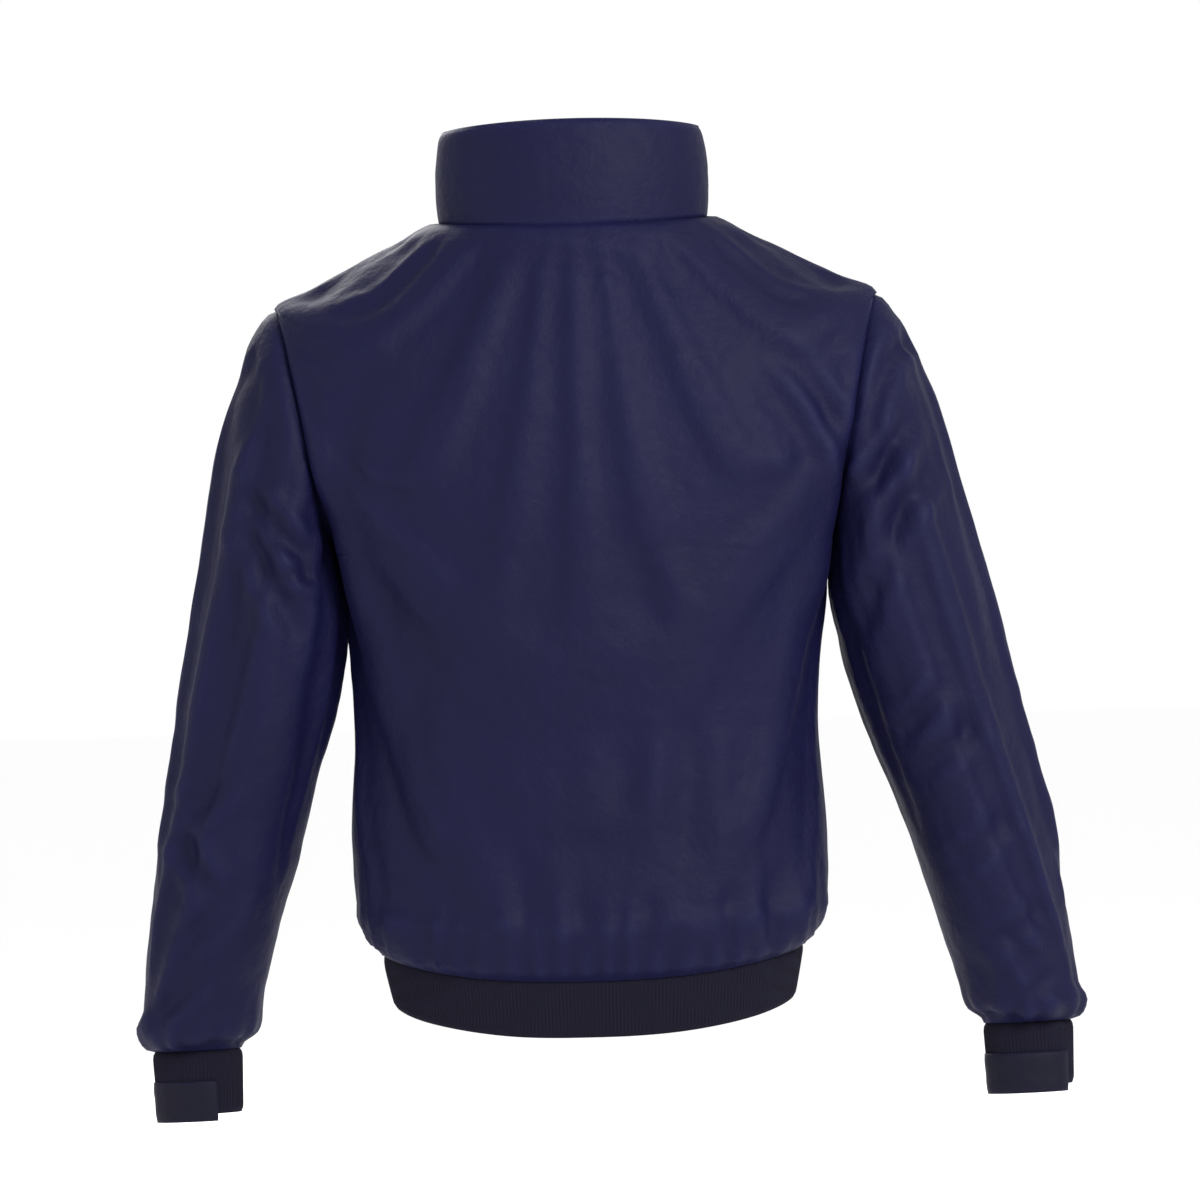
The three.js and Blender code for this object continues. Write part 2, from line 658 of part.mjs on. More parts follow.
function zipPieces() {
  for (const [side, turn] of sides) {
    const head = side === "left" ? zipHeadZ : zipHeadZ - sliderPark;
    const strip = (near, far, depth, thickness, z0, z1) => {
      const [x0, x1] = turn > 0 ? [near, far] : [-far, -near];
      return zipBlock(x0, depth, z0, x1, depth + thickness, z1);
    };
    const tapeFrom = chainGap + toothReach + seamGap;
    add(
      "zip_tape_" + side,
      "tape",
      strip(tapeFrom, tapeFrom + zipTapeWidth, zipSeat, zipTapeThickness, zipFootZ, head),
    );
    add(
      "zip_teeth_" + side,
      "plastic",
      strip(chainGap, chainGap + toothReach, toothFace, toothThickness, zipFootZ + 12, head - 3),
    );
    add(
      side === "left" ? "zip_retainer_box" : "zip_pin",
      "plastic",
      strip(
        chainGap,
        chainGap + toothReach,
        toothFace - 0.4,
        toothThickness + 0.8,
        zipFootZ,
        zipFootZ + 12 - seamGap,
      ),
    );
    add(
      "zip_top_stop_" + side,
      "metal",
      strip(chainGap, chainGap + toothReach, toothFace, toothThickness, head - 3 + seamGap, head),
    );
  }
}

// The slider: a front plate and a back plate joined by a post that runs between the two rows of teeth.
const plateThickness = 1.2;
const sliderTopZ = zipHeadZ - 1;
const sliderMiddleZ = sliderTopZ - sliderLength / 2;
const pullerPinZ = sliderMiddleZ - 1;
const pullerPinDepth = toothFace - seamGap - plateThickness - 1.6;

function sliderPieces() {
  const half = sliderWidth / 2;
  const z0 = sliderTopZ - sliderLength;
  const front = toothFace - seamGap - plateThickness;
  const back = toothFace + toothThickness + seamGap;
  const frontPlate = zipBlock(-half, front, z0, half, front + plateThickness, sliderTopZ);
  const backPlate = zipBlock(-half, back, z0, half, back + plateThickness, sliderTopZ);
  const post = zipBlock(
    -sliderPost / 2,
    front,
    sliderTopZ - 5,
    sliderPost / 2,
    back + plateThickness,
    sliderTopZ,
  );
  const bridgeFoot = zipBlock(-1.3, front - 3.2, pullerPinZ + 1.9, 1.3, front + 0.4, pullerPinZ + 3.4);
  const bridgeHead = zipBlock(-1.3, front - 3.2, pullerPinZ - 3.4, 1.3, front + 0.4, pullerPinZ - 1.9);
  const bridge = zipBlock(-1.3, front - 3.8, pullerPinZ - 3.4, 1.3, front - 2.8, pullerPinZ + 3.4);
  add("zip_slider", "metal", join(frontPlate, backPlate, post, bridgeFoot, bridgeHead, bridge));

  const eye = zipBlock(
    -pullerWidth / 2,
    pullerPinDepth - 0.7,
    pullerPinZ - 0.9,
    pullerWidth / 2,
    pullerPinDepth + 0.5,
    pullerPinZ + 0.9,
  );
  const arm = (x) =>
    zipBlock(
      x - 0.8,
      pullerPinDepth - 0.7,
      pullerPinZ - 8,
      x + 0.8,
      pullerPinDepth + 0.5,
      pullerPinZ + 0.9,
    );
  const handle = zipBlock(
    -pullerWidth / 2,
    pullerPinDepth - 1.3,
    pullerPinZ - pullerLength,
    pullerWidth / 2,
    pullerPinDepth + 0.5,
    pullerPinZ - 7,
  );
  const inset = pullerWidth / 2 - 0.8;
  add("zip_puller", "metal", join(eye, arm(-inset), arm(inset), handle));
}

// ---- Hand pockets: a welt in the side panel, a closed coil zip in it, and a bag that lies flat behind it ----
function pocketPieces() {
  const half = pocketLength / 2;
  const slot = block(-half, -pocketSlotWidth / 2, -9, half, pocketSlotWidth / 2, 9);
  const weltFront = 2.2;
  const welt = cut(
    block(-halfWelt, -pocketWeltWidth / 2, -shellThickness, halfWelt, pocketWeltWidth / 2, weltFront),
    slot,
  );
  const reach = pocketSlotWidth / 2 - seamGap;
  const chain = join(
    block(-half + seamGap, -reach, -0.6, half - seamGap, reach, 0.2),
    block(-half + seamGap, -1.6, -1, half - seamGap, 1.6, 1),
  );
  for (const [side, turn] of sides) {
    const frame = pocketFrame(turn);
    add("pocket_welt_" + side, "shell", placed(welt, frame));
    add("pocket_zip_" + side, "tape", placed(chain, frame));
    const from = half - pocketSliderLength - 2;
    const plate = block(from, -3.2, 1 + seamGap, from + pocketSliderLength, 3.2, 2.6);
    const eyeX = from + pocketSliderLength / 2;
    const post = (x) => block(x - 0.7, -1, 2.4, x + 0.7, 1, 5.6);
    const bridge = block(eyeX - 3, -1, 4.6, eyeX + 3, 1, 5.6);
    const slider = join(plate, post(eyeX - 2.3), post(eyeX + 2.3), bridge);
    add("pocket_slider_" + side, "metal", placed(slider, frame));
    const eye = block(eyeX - 0.7, -2.6, 3.1, eyeX + 0.7, 2.6, 4.1);
    const arms = [-2.1, 2.1].map((y) => block(eyeX - 7, y - 0.5, 3.1, eyeX + 0.7, y + 0.5, 4.1));
    const handle = block(eyeX - 26, -2.6, 2.9, eyeX - 6, 2.6, 4.3);
    add("pocket_puller_" + side, "metal", placed(join(eye, ...arms, handle), frame));

    const bagGrid = sideGrid
      .filter(([[h]]) => h > pocketFootZ - 40 && h < pocketTopZ + 15)
      .map((row) => row.slice(-5, -1));
    const bagThickness = liningDepth - shellThickness - 2 * bagGap;
    const bag = clothPiece(torso, onSide(turn, bagGrid), bagThickness, { depth: shellThickness + bagGap });
    add("pocket_bag_" + side, "lining", cut(bag, placed(weltHollow, frame)));
  }
}
const weltHollow = block(
  -halfWelt - 0.4,
  -pocketWeltWidth / 2 - 0.4,
  -shellThickness - 0.35,
  halfWelt + 0.4,
  pocketWeltWidth / 2 + 0.4,
  9,
);

// ---- Inside: hanger loop at the nape, and a patch pocket on the wearer's left front ----
function collarInsideY(z, x) {
  const r = collarRing(z);
  const angle = Math.asin((x / r.half) ** (r.square / 2));
  return ringPoint(r, angle).y - closeDepth - collarFleeceThickness;
}

function insidePieces() {
  const half = loopSpan / 2;
  const outline = new THREE.Shape();
  const corner = 5;
  outline.moveTo(-half, -loopHeight);
  outline.lineTo(-half, loopThickness - corner);
  outline.absarc(-half + corner, loopThickness - corner, corner, Math.PI, QUARTER, true);
  outline.lineTo(half - corner, loopThickness);
  outline.absarc(half - corner, loopThickness - corner, corner, QUARTER, 0, true);
  outline.lineTo(half, -loopHeight);
  outline.lineTo(half - loopThickness, -loopHeight);
  outline.lineTo(half - loopThickness, -corner + loopThickness);
  outline.absarc(half - corner, loopThickness - corner, corner - loopThickness, 0, QUARTER, false);
  outline.lineTo(-half + corner, 0);
  outline.absarc(-half + corner, loopThickness - corner, corner - loopThickness, QUARTER, Math.PI, false);
  outline.lineTo(-half + loopThickness, -loopHeight);
  const strap = new THREE.ExtrudeGeometry(outline, { depth: loopWidth, bevelEnabled: false, curveSegments: 4 })
    .rotateX(QUARTER)
    .translate(0, loopWidth / 2, 0);
  const footTop = -loopHeight + 8;
  const footY = collarInsideY(footTop, half) - 0.8;
  const foot = (x0) => block(x0, loopWidth / 2 - 1, -loopHeight, x0 + loopThickness, footY, footTop);
  add("hanger_loop", "webbing", join(strap, foot(-half), foot(half - loopThickness)));

  const depth = liningDepth + fleeceThickness + layerGap;
  const heights = across(armholeMiddle - 120, armholeMiddle - 5, 5);
  const edge = (x) => (h) => frontAngle(torsoRing(h), x);
  add(
    "inner_pocket",
    "lining",
    clothPiece(torso, panelGrid(heights, edge(92), edge(28), 4), shellThickness, { depth }),
  );
}

torsoPieces();
collarPieces();
hemPieces();
sleevePieces();
tabPieces();
zipPieces();
sliderPieces();
pocketPieces();
insidePieces();

export default root;
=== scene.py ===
import math
import bpy
import numpy as np
from mathutils import Matrix, Vector, noise


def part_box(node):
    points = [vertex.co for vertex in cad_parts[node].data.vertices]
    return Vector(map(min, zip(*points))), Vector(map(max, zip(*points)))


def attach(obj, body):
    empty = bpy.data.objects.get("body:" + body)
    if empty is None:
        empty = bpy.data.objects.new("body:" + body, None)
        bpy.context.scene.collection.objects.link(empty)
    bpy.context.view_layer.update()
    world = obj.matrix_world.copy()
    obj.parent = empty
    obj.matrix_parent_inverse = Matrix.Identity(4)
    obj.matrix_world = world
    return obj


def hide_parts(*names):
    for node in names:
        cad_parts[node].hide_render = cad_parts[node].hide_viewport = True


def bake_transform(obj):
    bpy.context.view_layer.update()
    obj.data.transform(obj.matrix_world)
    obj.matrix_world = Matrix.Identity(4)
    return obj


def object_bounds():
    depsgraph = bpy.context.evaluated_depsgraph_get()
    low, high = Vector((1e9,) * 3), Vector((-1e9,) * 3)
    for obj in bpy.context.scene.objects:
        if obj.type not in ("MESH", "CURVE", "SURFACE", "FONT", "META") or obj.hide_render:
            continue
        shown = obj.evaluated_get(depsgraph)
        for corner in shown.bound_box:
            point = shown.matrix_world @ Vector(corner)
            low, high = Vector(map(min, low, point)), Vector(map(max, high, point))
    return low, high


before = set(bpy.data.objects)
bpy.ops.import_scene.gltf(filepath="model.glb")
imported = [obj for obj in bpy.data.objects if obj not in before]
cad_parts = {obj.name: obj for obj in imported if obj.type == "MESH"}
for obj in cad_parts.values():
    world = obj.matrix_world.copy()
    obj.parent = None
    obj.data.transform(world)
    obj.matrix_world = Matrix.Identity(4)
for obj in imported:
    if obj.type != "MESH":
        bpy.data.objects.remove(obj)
cad_low, cad_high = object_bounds()

# ---- Shell cloth ----
# A plain-woven nylon outer cloth, dyed navy and coated inside. Fine threads and a light calender give it
# a soft, even sheen with faint slubs. Its colour is painted paler on the crests of folds and on edges: a painted
# highlight.
SHELL_NAVY = "#0B0B2D"
SHELL_SHADE = "#080723"
# The paler colour painted on the crests of folds and on edges: a painted highlight.
SHELL_PAINTED_HIGHLIGHT = "#13143B"
SHELL_THREAD = 0.0007  # m between threads, drawn about twice as coarse as they are so that they show


def linear(colour):
    """The linear colour of an sRGB hex value, with alpha."""
    parts = [int(colour[i : i + 2], 16) / 255 for i in (1, 3, 5)]
    return [c / 12.92 if c <= 0.04045 else ((c + 0.055) / 1.055) ** 2.4 for c in parts] + [1.0]


def add(tree, kind, inputs=None, **settings):
    """A node with its settings, its values and the sockets that feed it."""
    node = tree.nodes.new(kind)
    for key, value in settings.items():
        setattr(node, key, value)
    for key, value in (inputs or {}).items():
        if isinstance(value, bpy.types.NodeSocket):
            tree.links.new(value, node.inputs[key])
        else:
            node.inputs[key].default_value = value
    return node


def new_material(name):
    material = bpy.data.materials.new(name)
    material.use_nodes = True
    material.node_tree.nodes.clear()
    return material, material.node_tree


def in_piece(tree):
    return add(tree, "ShaderNodeTexCoord").outputs["Object"]


def on_cloth(tree):
    """The place on the cloth when it is laid out flat, in metres."""
    return add(tree, "ShaderNodeUVMap", uv_map="cloth").outputs["UV"]


def mixed(tree, share, first, second):
    node = add(tree, "ShaderNodeMix", {"Factor": share, 6: first, 7: second}, data_type="RGBA")
    return node.outputs[2]


def waves(tree, place, spacing, distortion, direction):
    """Even bands, spacing metres apart: Blender's wave texture has a period of pi / 10 over its scale."""
    values = {"Vector": place, "Scale": math.pi / 10 / spacing, "Distortion": distortion}
    return add(tree, "ShaderNodeTexWave", values, bands_direction=direction).outputs["Fac"]


def speckle(tree, place, scale, detail):
    return add(tree, "ShaderNodeTexNoise", {"Vector": place, "Scale": scale, "Detail": detail}).outputs["Fac"]


def bumped(tree, height, strength, distance, under=None):
    """Fine relief, distance metres deep, which may lie on another one."""
    values = {"Height": height, "Strength": strength, "Distance": distance}
    if under is not None:
        values["Normal"] = under
    return add(tree, "ShaderNodeBump", values).outputs["Normal"]


def finished(material, tree, values):
    skin = add(tree, "ShaderNodeBsdfPrincipled", values)
    add(tree, "ShaderNodeOutputMaterial", {"Surface": skin.outputs["BSDF"]})
    return material


def shell_cloth(name, navy, shade, painted_highlight):
    material, tree = new_material(name)
    cloth = on_cloth(tree)
    place = in_piece(tree)
    warp = waves(tree, cloth, SHELL_THREAD, 0.4, "X")
    weft = waves(tree, cloth, SHELL_THREAD, 0.4, "Y")
    weave = add(tree, "ShaderNodeMath", {0: warp, 1: weft}, operation="MAXIMUM")
    dye = add(tree, "ShaderNodeTexNoise", {"Vector": place, "Scale": 9.0, "Detail": 4.0, "Roughness": 0.6})
    slubs = speckle(tree, cloth, 420.0, 2.0)
    crinkle = add(tree, "ShaderNodeTexNoise", {"Vector": place, "Scale": 70.0, "Detail": 5.0, "Roughness": 0.62})
    tone = mixed(tree, dye.outputs["Fac"], linear(shade), linear(navy))
    # Convex places, the crests of folds and the edges, are coloured paler: a painted highlight.
    edges = add(tree, "ShaderNodeNewGeometry").outputs["Pointiness"]
    highlight_share = add(tree, "ShaderNodeMapRange", {"Value": edges, "From Min": 0.51, "From Max": 0.60, "To Max": 0.55})
    highlighted = mixed(tree, highlight_share.outputs["Result"], tone, linear(painted_highlight))
    flecks = add(tree, "ShaderNodeMapRange", {"Value": slubs, "To Min": 0.86, "To Max": 1.14})
    colour = add(tree, "ShaderNodeVectorMath", {0: highlighted, 1: flecks.outputs["Result"]}, operation="MULTIPLY")
    rough = add(tree, "ShaderNodeMapRange", {"Value": crinkle.outputs["Fac"], "To Min": 0.52, "To Max": 0.70})
    fine = bumped(tree, weave.outputs["Value"], 0.25, 0.00012)
    bump = bumped(tree, crinkle.outputs["Fac"], 0.6, 0.003, fine)
    return finished(material, tree, {
        "Base Color": colour.outputs["Vector"],
        "Roughness": rough.outputs["Result"],
        "Normal": bump,
        "Specular IOR Level": 0.12,
        "Sheen Weight": 0.04,
        "Sheen Roughness": 0.4,
        "Sheen Tint": linear("#40407A"),
        "IOR": 1.5,
    })


woven_nylon = shell_cloth("woven_nylon_navy", SHELL_NAVY, SHELL_SHADE, SHELL_PAINTED_HIGHLIGHT)

# ---- Body panels ----
# One back panel, two side panels and two narrow front panels, cut from the shell cloth, sewn with plain
# seams and lined with fleece. They hang from the shoulders and blouse over the knitted hem.
SIDE_Y = -72.0
NECK_Z, SHOULDER_Z, UNDERARM_Z, HEM_Z = -19.0, -86.0, -290.0, -628.0
SHOULDER_HALF, CHEST_HALF = 250.0, 211.0
FOLD_X = 100.0  # the seam that each front opens about
ZIP_EDGE_X = 6.5
SHELL_THICK = 1.2
FLEECE_THICK = 3.0
LINING_DEPTH = 4.4  # from the outside of the shell to the outside of its fleece
# Side height, half width, back dip, front dip, back y, fullness and squareness of each outline, in mm.
BODY_RINGS = [
    (NECK_Z, 113.0, 5, 59, 12.6, 0, 2),
    (-41.1, 167.8, 25, 74, 24, 2, 2),
    (-71.3, 221.2, 43, 85, 38, 6, 2.1),
    (SHOULDER_Z, SHOULDER_HALF, 52, 89, 43, 8, 2.15),
    (-135, 262, 45, 76, 50, 12, 2.3),
    (-190, 258, 32, 53, 54, 14, 2.4),
    (-239, 236, 18, 30, 55, 14, 2.4),
    (UNDERARM_Z, CHEST_HALF, 8, 13, 54, 12, 2.4),
    (-330.7, 202, 4, 6, 51, 10, 2.4),
    (-384.6, 194, 0, 0, 46, 8, 2.4),
    (-448.9, 190.5, 0, 0, 38, 6, 2.4),
    (-536.7, 196.5, 0, 0, 40, 8, 2.35),
    (-590.8, 197, 5, 2, 42, 10, 2.3),
    (-612.1, 189.4, 12, 5, 36, 8, 2.3),
    (HEM_Z, 178, 25, 12, 24, 2, 2.3),
]
BODY_ROWS, ARMHOLE_ROWS, SHOULDER_ROWS = 64, 40, 26
BACK_COLUMNS, SIDE_COLUMNS, FRONT_COLUMNS = 96, 34, 16


def zip_y(z):
    return -150 - (50 - z) * 0.0523


def smooth_rows(table):
    """A function from height to the outline there, which never overshoots the outlines given."""
    table = np.array(sorted(table), float)
    at, values = table[:, 0], table[:, 1:]
    rise = np.diff(values, axis=0) / np.diff(at)[:, None]
    before, after = rise[:-1], rise[1:]
    turning = before * after <= 0
    between = np.where(turning, 0, 2 * before * after / np.where(turning, 1, before + after))
    slope = np.vstack([rise[:1], between, rise[-1:]])

    def row(height):
        height = np.asarray(height, float)
        i = np.clip(np.searchsorted(at, height) - 1, 0, len(at) - 2)
        span = at[i + 1] - at[i]
        t = np.clip((height - at[i]) / span, 0, 1)[..., None]
        span = span[..., None]
        return (
            (2 * t**3 - 3 * t**2 + 1) * values[i]
            + (t**3 - 2 * t**2 + t) * span * slope[i]
            + (3 * t**2 - 2 * t**3) * values[i + 1]
            + (t**3 - t**2) * span * slope[i + 1]
        )

    return row


def signed_power(value, exponent):
    return np.sign(value) * np.abs(value) ** exponent


def ring_surface(rings):
    """A function from height and angle to the point there. Angle 0 is the centre back and pi the zip."""
    row = smooth_rows(rings)

    def point(height, angle):
        height = np.asarray(height, float) + 0 * np.asarray(angle, float)
        half, back_dip, front_dip, back_y, fullness, square = np.moveaxis(row(height), -1, 0)
        round_it, along = np.sin(angle), np.cos(angle)
        dip = np.where(along > 0, back_dip, front_dip)
        reach = np.where(along > 0, back_y - SIDE_Y, SIDE_Y - zip_y(height - front_dip))
        swell = np.where(along > 0, 0, fullness * np.sin(2 * angle) ** 2)
        x = half * signed_power(round_it, 2 / square)
        y = SIDE_Y + reach * signed_power(along, 2 / square) - swell
        return np.stack([x, y, height - dip * np.abs(along) ** 1.5], -1)

    def front_angle(height, x):
        half, square = row(height)[..., 0], row(height)[..., 5]
        return math.pi - np.arcsin(np.minimum(1, (x / half) ** (square / 2)))

    return point, front_angle


body, body_front = ring_surface(BODY_RINGS)
ARMHOLE_LEAN = math.atan2(SHOULDER_HALF - CHEST_HALF, SHOULDER_Z - UNDERARM_Z)


def armhole_angle(height, way):
    """How far round from the side seam the armhole's edge lies: way is -1 at its back and 1 at its front."""
    near, far = np.zeros_like(height), np.full_like(height, math.radians(50))
    for _ in range(36):
        middle = (near + far) / 2
        p = body(height, math.pi / 2 + way * middle)
        sideways, upward = p[..., 0] - SHOULDER_HALF, p[..., 2] - SHOULDER_Z
        past = sideways * math.cos(ARMHOLE_LEAN) - upward * math.sin(ARMHOLE_LEAN)
        near, far = np.where(past > 0, middle, near), np.where(past > 0, far, middle)
    return np.where((height >= SHOULDER_Z - 0.01) | (height <= UNDERARM_Z + 0.01), 0, near)


def even_panel(surface, heights, left, right, columns):
    """A grid of points between two edges, with its columns evenly spaced along each row."""
    share = np.linspace(0, 1, 400)
    angles = left[:, None] + (right - left)[:, None] * share
    dense = surface(heights[:, None], angles)
    run = np.cumsum(np.linalg.norm(np.diff(dense, axis=1), axis=2), axis=1)
    run = np.hstack([np.zeros((len(run), 1)), run])
    even = [np.interp(np.linspace(0, r[-1], columns + 1), r, a) for r, a in zip(run, angles)]
    return surface(heights[:, None], np.array(even))


def outward(points, tube=False):
    """The outward normal at each point of a grid whose rows rise and whose columns run round the garment."""
    along = np.gradient(points, axis=0)
    if tube:
        around = np.roll(points, -1, 1) - np.roll(points, 1, 1)
    else:
        around = np.gradient(points, axis=1)
    normal = np.cross(along, around)
    return normal / np.maximum(np.linalg.norm(normal, axis=2, keepdims=True), 1e-9)


def run_of(points, axis):
    """How far each point lies along its row or column, in mm."""
    step = np.linalg.norm(np.diff(points, axis=axis), axis=2)
    start = np.zeros_like(np.take(step, [0], axis))
    return np.cumsum(np.concatenate([start, step], axis), axis)


def cloth_piece(name, outer, material, thick, depth=0.0, tube=False):
    """A closed sheet of one thickness whose outside lies depth below a grid of points, given in mm."""
    rows, columns = outer.shape[:2]
    normal = outward(outer, tube)
    top, under = outer - normal * depth, outer - normal * (depth + thick)
    if tube:
        loop = np.concatenate([outer, outer[:, :1]], 1)
    else:
        loop = outer
    u, v = run_of(loop, 1), run_of(loop, 0)
    u = u - u.mean(axis=1, keepdims=True)
    index = np.arange(rows * columns).reshape(rows, columns)
    if tube:
        index = np.concatenate([index, index[:, :1]], 1)
    i, j = (g.ravel() for g in np.meshgrid(np.arange(rows - 1), np.arange(index.shape[1] - 1), indexing="ij"))
    corners = [(i, j), (i + 1, j), (i + 1, j + 1), (i, j + 1)]
    face = np.stack([index[c] for c in corners], 1)
    face_uv = np.stack([np.stack([u[c], v[c]], 1) for c in corners], 1)
    below = face[:, ::-1] + rows * columns
    faces, uvs = [face, below], [face_uv, face_uv[:, ::-1]]

    def rim(first, second, first_at, second_at):
        a, b = index[first], index[second]
        faces.append(np.stack([a, b, b + rows * columns, a + rows * columns], 1))
        near = np.stack([u[first_at], v[first_at]], 1)
        far = np.stack([u[second_at], v[second_at]], 1)
        uvs.append(np.stack([near, far, far, near], 1))

    across = np.arange(index.shape[1] - 1)
    up = np.arange(rows - 1)
    for row, turned in ((0, False), (rows - 1, True)):
        a, b = (np.full_like(across, row), across), (np.full_like(across, row), across + 1)
        if turned:
            a, b = b, a
        rim(a, b, a, b)
    if not tube:
        for column, turned in ((0, True), (columns - 1, False)):
            a, b = (up, np.full_like(up, column)), (up + 1, np.full_like(up, column))
            if turned:
                a, b = b, a
            rim(a, b, a, b)
    points = np.concatenate([top.reshape(-1, 3), under.reshape(-1, 3)])
    return mesh_piece(name, points, np.concatenate(faces), material, np.concatenate(uvs) / 1000)


def mesh_piece(name, points, faces, material, uvs=None):
    """A smooth-shaded piece from points in mm, with its cloth laid out flat in metres in its UV map."""
    mesh = bpy.data.meshes.new(name)
    mesh.from_pydata((points / 1000).tolist(), [], faces if isinstance(faces, list) else faces.tolist())
    if uvs is not None:
        mesh.uv_layers.new(name="cloth").data.foreach_set("uv", uvs.astype(np.float32).ravel())
    mesh.shade_smooth()
    mesh.validate()
    obj = bpy.data.objects.new(name, mesh)
    bpy.context.scene.collection.objects.link(obj)
    obj.data.materials.append(material)
    return obj


def mirrored(points):
    """The same grid on the wearer's right."""
    return points[:, ::-1] * np.array([-1, 1, 1])


middle_z = (SHOULDER_Z + UNDERARM_Z) / 2
armhole_turn = np.linspace(0, math.pi, ARMHOLE_ROWS, endpoint=False)
body_heights = np.concatenate([
    np.linspace(HEM_Z, UNDERARM_Z, BODY_ROWS, endpoint=False),
    middle_z - (SHOULDER_Z - UNDERARM_Z) / 2 * (0.5 * np.cos(armhole_turn) + 0.5 * (1 - 2 * armhole_turn / math.pi)),
    np.linspace(SHOULDER_Z, NECK_Z, SHOULDER_ROWS + 1),
])
back_edge = math.pi / 2 - armhole_angle(body_heights, -1)
arm_edge = math.pi / 2 + armhole_angle(body_heights, 1)
fold_edge = body_front(body_heights, FOLD_X)
zip_edge = body_front(body_heights, ZIP_EDGE_X)
back_base = even_panel(body, body_heights, -back_edge, back_edge, BACK_COLUMNS)
side_base = even_panel(body, body_heights, arm_edge, fold_edge, SIDE_COLUMNS)
front_base = even_panel(body, body_heights, fold_edge, zip_edge, FRONT_COLUMNS)


def rumple(across, up, wide, tall, seed):
    """Smooth noise from -1 to 1 whose lumps are wide by tall, in mm."""
    flat = zip((across / wide).ravel(), (up / tall).ravel())
    made = [noise.noise(Vector((a, b, seed * 7.3))) for a, b in flat]
    return np.array(made).reshape(across.shape)


def soft_path(path):
    """A path with its corners rounded off."""
    path = np.array(path, float)
    for _ in range(3):
        quarter, rest = path[:-1] * 0.75 + path[1:] * 0.25, path[:-1] * 0.25 + path[1:] * 0.75
        inner = np.stack([quarter, rest], 1).reshape(-1, path.shape[1])
        path = np.vstack([path[:1], inner[1:-1], path[-1:]])
    return path


def fold_depth(points, normal, folds, facing):
    """The height that folds add. Each is a path in x and z with a depth and a width; facing is 1 at the back."""
    made = np.zeros(points.shape[:2])
    spot = points[..., [0, 2]]
    turned_to = np.clip(normal[..., 1] * facing * 3.0 + 0.4, 0, 1)
    for path, depth, width in folds:
        path = soft_path(path)
        lengths = np.linalg.norm(np.diff(path, axis=0), axis=1)
        starts = np.concatenate([[0], np.cumsum(lengths)])
        best, share = np.full(spot.shape[:2], 1e9), np.zeros(spot.shape[:2])
        for a, b, start, length in zip(path[:-1], path[1:], starts, lengths):
            t = np.clip(((spot - a) @ (b - a)) / max(length**2, 1e-9), 0, 1)
            gap = np.linalg.norm(spot - a - t[..., None] * (b - a), axis=2)
            nearer = gap < best
            best = np.where(nearer, gap, best)
            share = np.where(nearer, (start + t * length) / starts[-1], share)
        valley = -np.exp(-((best / width) ** 2))
        ridge = 0.6 * np.exp(-(((best - 1.9 * width) / (0.9 * width)) ** 2))
        fade = np.clip(np.minimum(share, 1 - share) * 4, 0, 1) ** 0.8
        far = np.exp(-((np.maximum(best - 4 * width, 0) / width) ** 2))
        made += 1.35 * depth * (valley + ridge) * (0.15 + 0.85 * fade) * far
    return made * turned_to


# Folds of the body: paths in mm, how deep each is, and its half width.
BACK_FOLDS = [
    ([(78, -42), (20, -50), (-30, -60), (-62, -67)], 1.5, 8),
    ([(250, -196), (232, -240), (214, -268), (203, -330), (200, -380)], 6.0, 9),
    ([(-172, -135), (-200, -168), (-222, -210), (-229, -260), (-210, -292), (-204, -350)], 5.0, 8),
    ([(-150, -150), (-185, -200), (-196, -250)], 2.6, 12),
    ([(180, -150), (198, -200), (196, -262)], 2.4, 12),
    ([(-53, -300), (-52, -366)], 1.8, 14),
    ([(-31, -450), (-25, -515)], 2.2, 13),
    ([(-86, -430), (-84, -500), (-79, -566)], 2.8, 14),
    ([(-120, -575), (-108, -628)], 3.2, 11),
    ([(131, -378), (162, -452), (150, -520), (112, -622)], 3.4, 18),
    ([(60, -540), (52, -622)], 2.4, 12),
    ([(8, -580), (6, -628)], 2.4, 9),
    ([(-50, -585), (-44, -628)], 2.6, 9),
    ([(150, -585), (140, -628)], 3.0, 9),
    ([(-160, -560), (-148, -628)], 3.0, 10),
]
FRONT_FOLDS = [
    ([(225, -215), (200, -250), (180, -300)], 4.0, 10),
    ([(-225, -215), (-200, -250), (-180, -300)], 4.0, 10),
    ([(170, -330), (186, -420), (170, -500)], 3.0, 14),
    ([(-170, -330), (-186, -420), (-170, -500)], 3.0, 14),
    ([(60, -420), (54, -500), (62, -600)], 2.2, 12),
    ([(-60, -440), (-56, -520), (-64, -600)], 2.2, 12),
    ([(120, -120), (90, -160), (70, -210)], 2.0, 13),
    ([(-120, -120), (-90, -160), (-70, -210)], 2.0, 13),
]


def edge_gaps(points):
    """How far each point of a grid lies from each of its edges, in mm."""
    across, up = run_of(points, 1), run_of(points, 0)
    return {
        "left": across,
        "right": across[:, -1:] - across,
        "foot": up,
        "head": up[-1:] - up,
    }


def seam_pull(points, edges):
    """How far the cloth dips at its sewn edges: a narrow groove, with a low swell beside it."""
    made = np.zeros(points.shape[:2])
    near = edge_gaps(points)
    for edge in edges:
        gap = near[edge]
        made += -1.1 * np.exp(-((gap / 3.0) ** 2)) + 0.9 * np.exp(-(((gap - 9) / 5) ** 2))
    return made


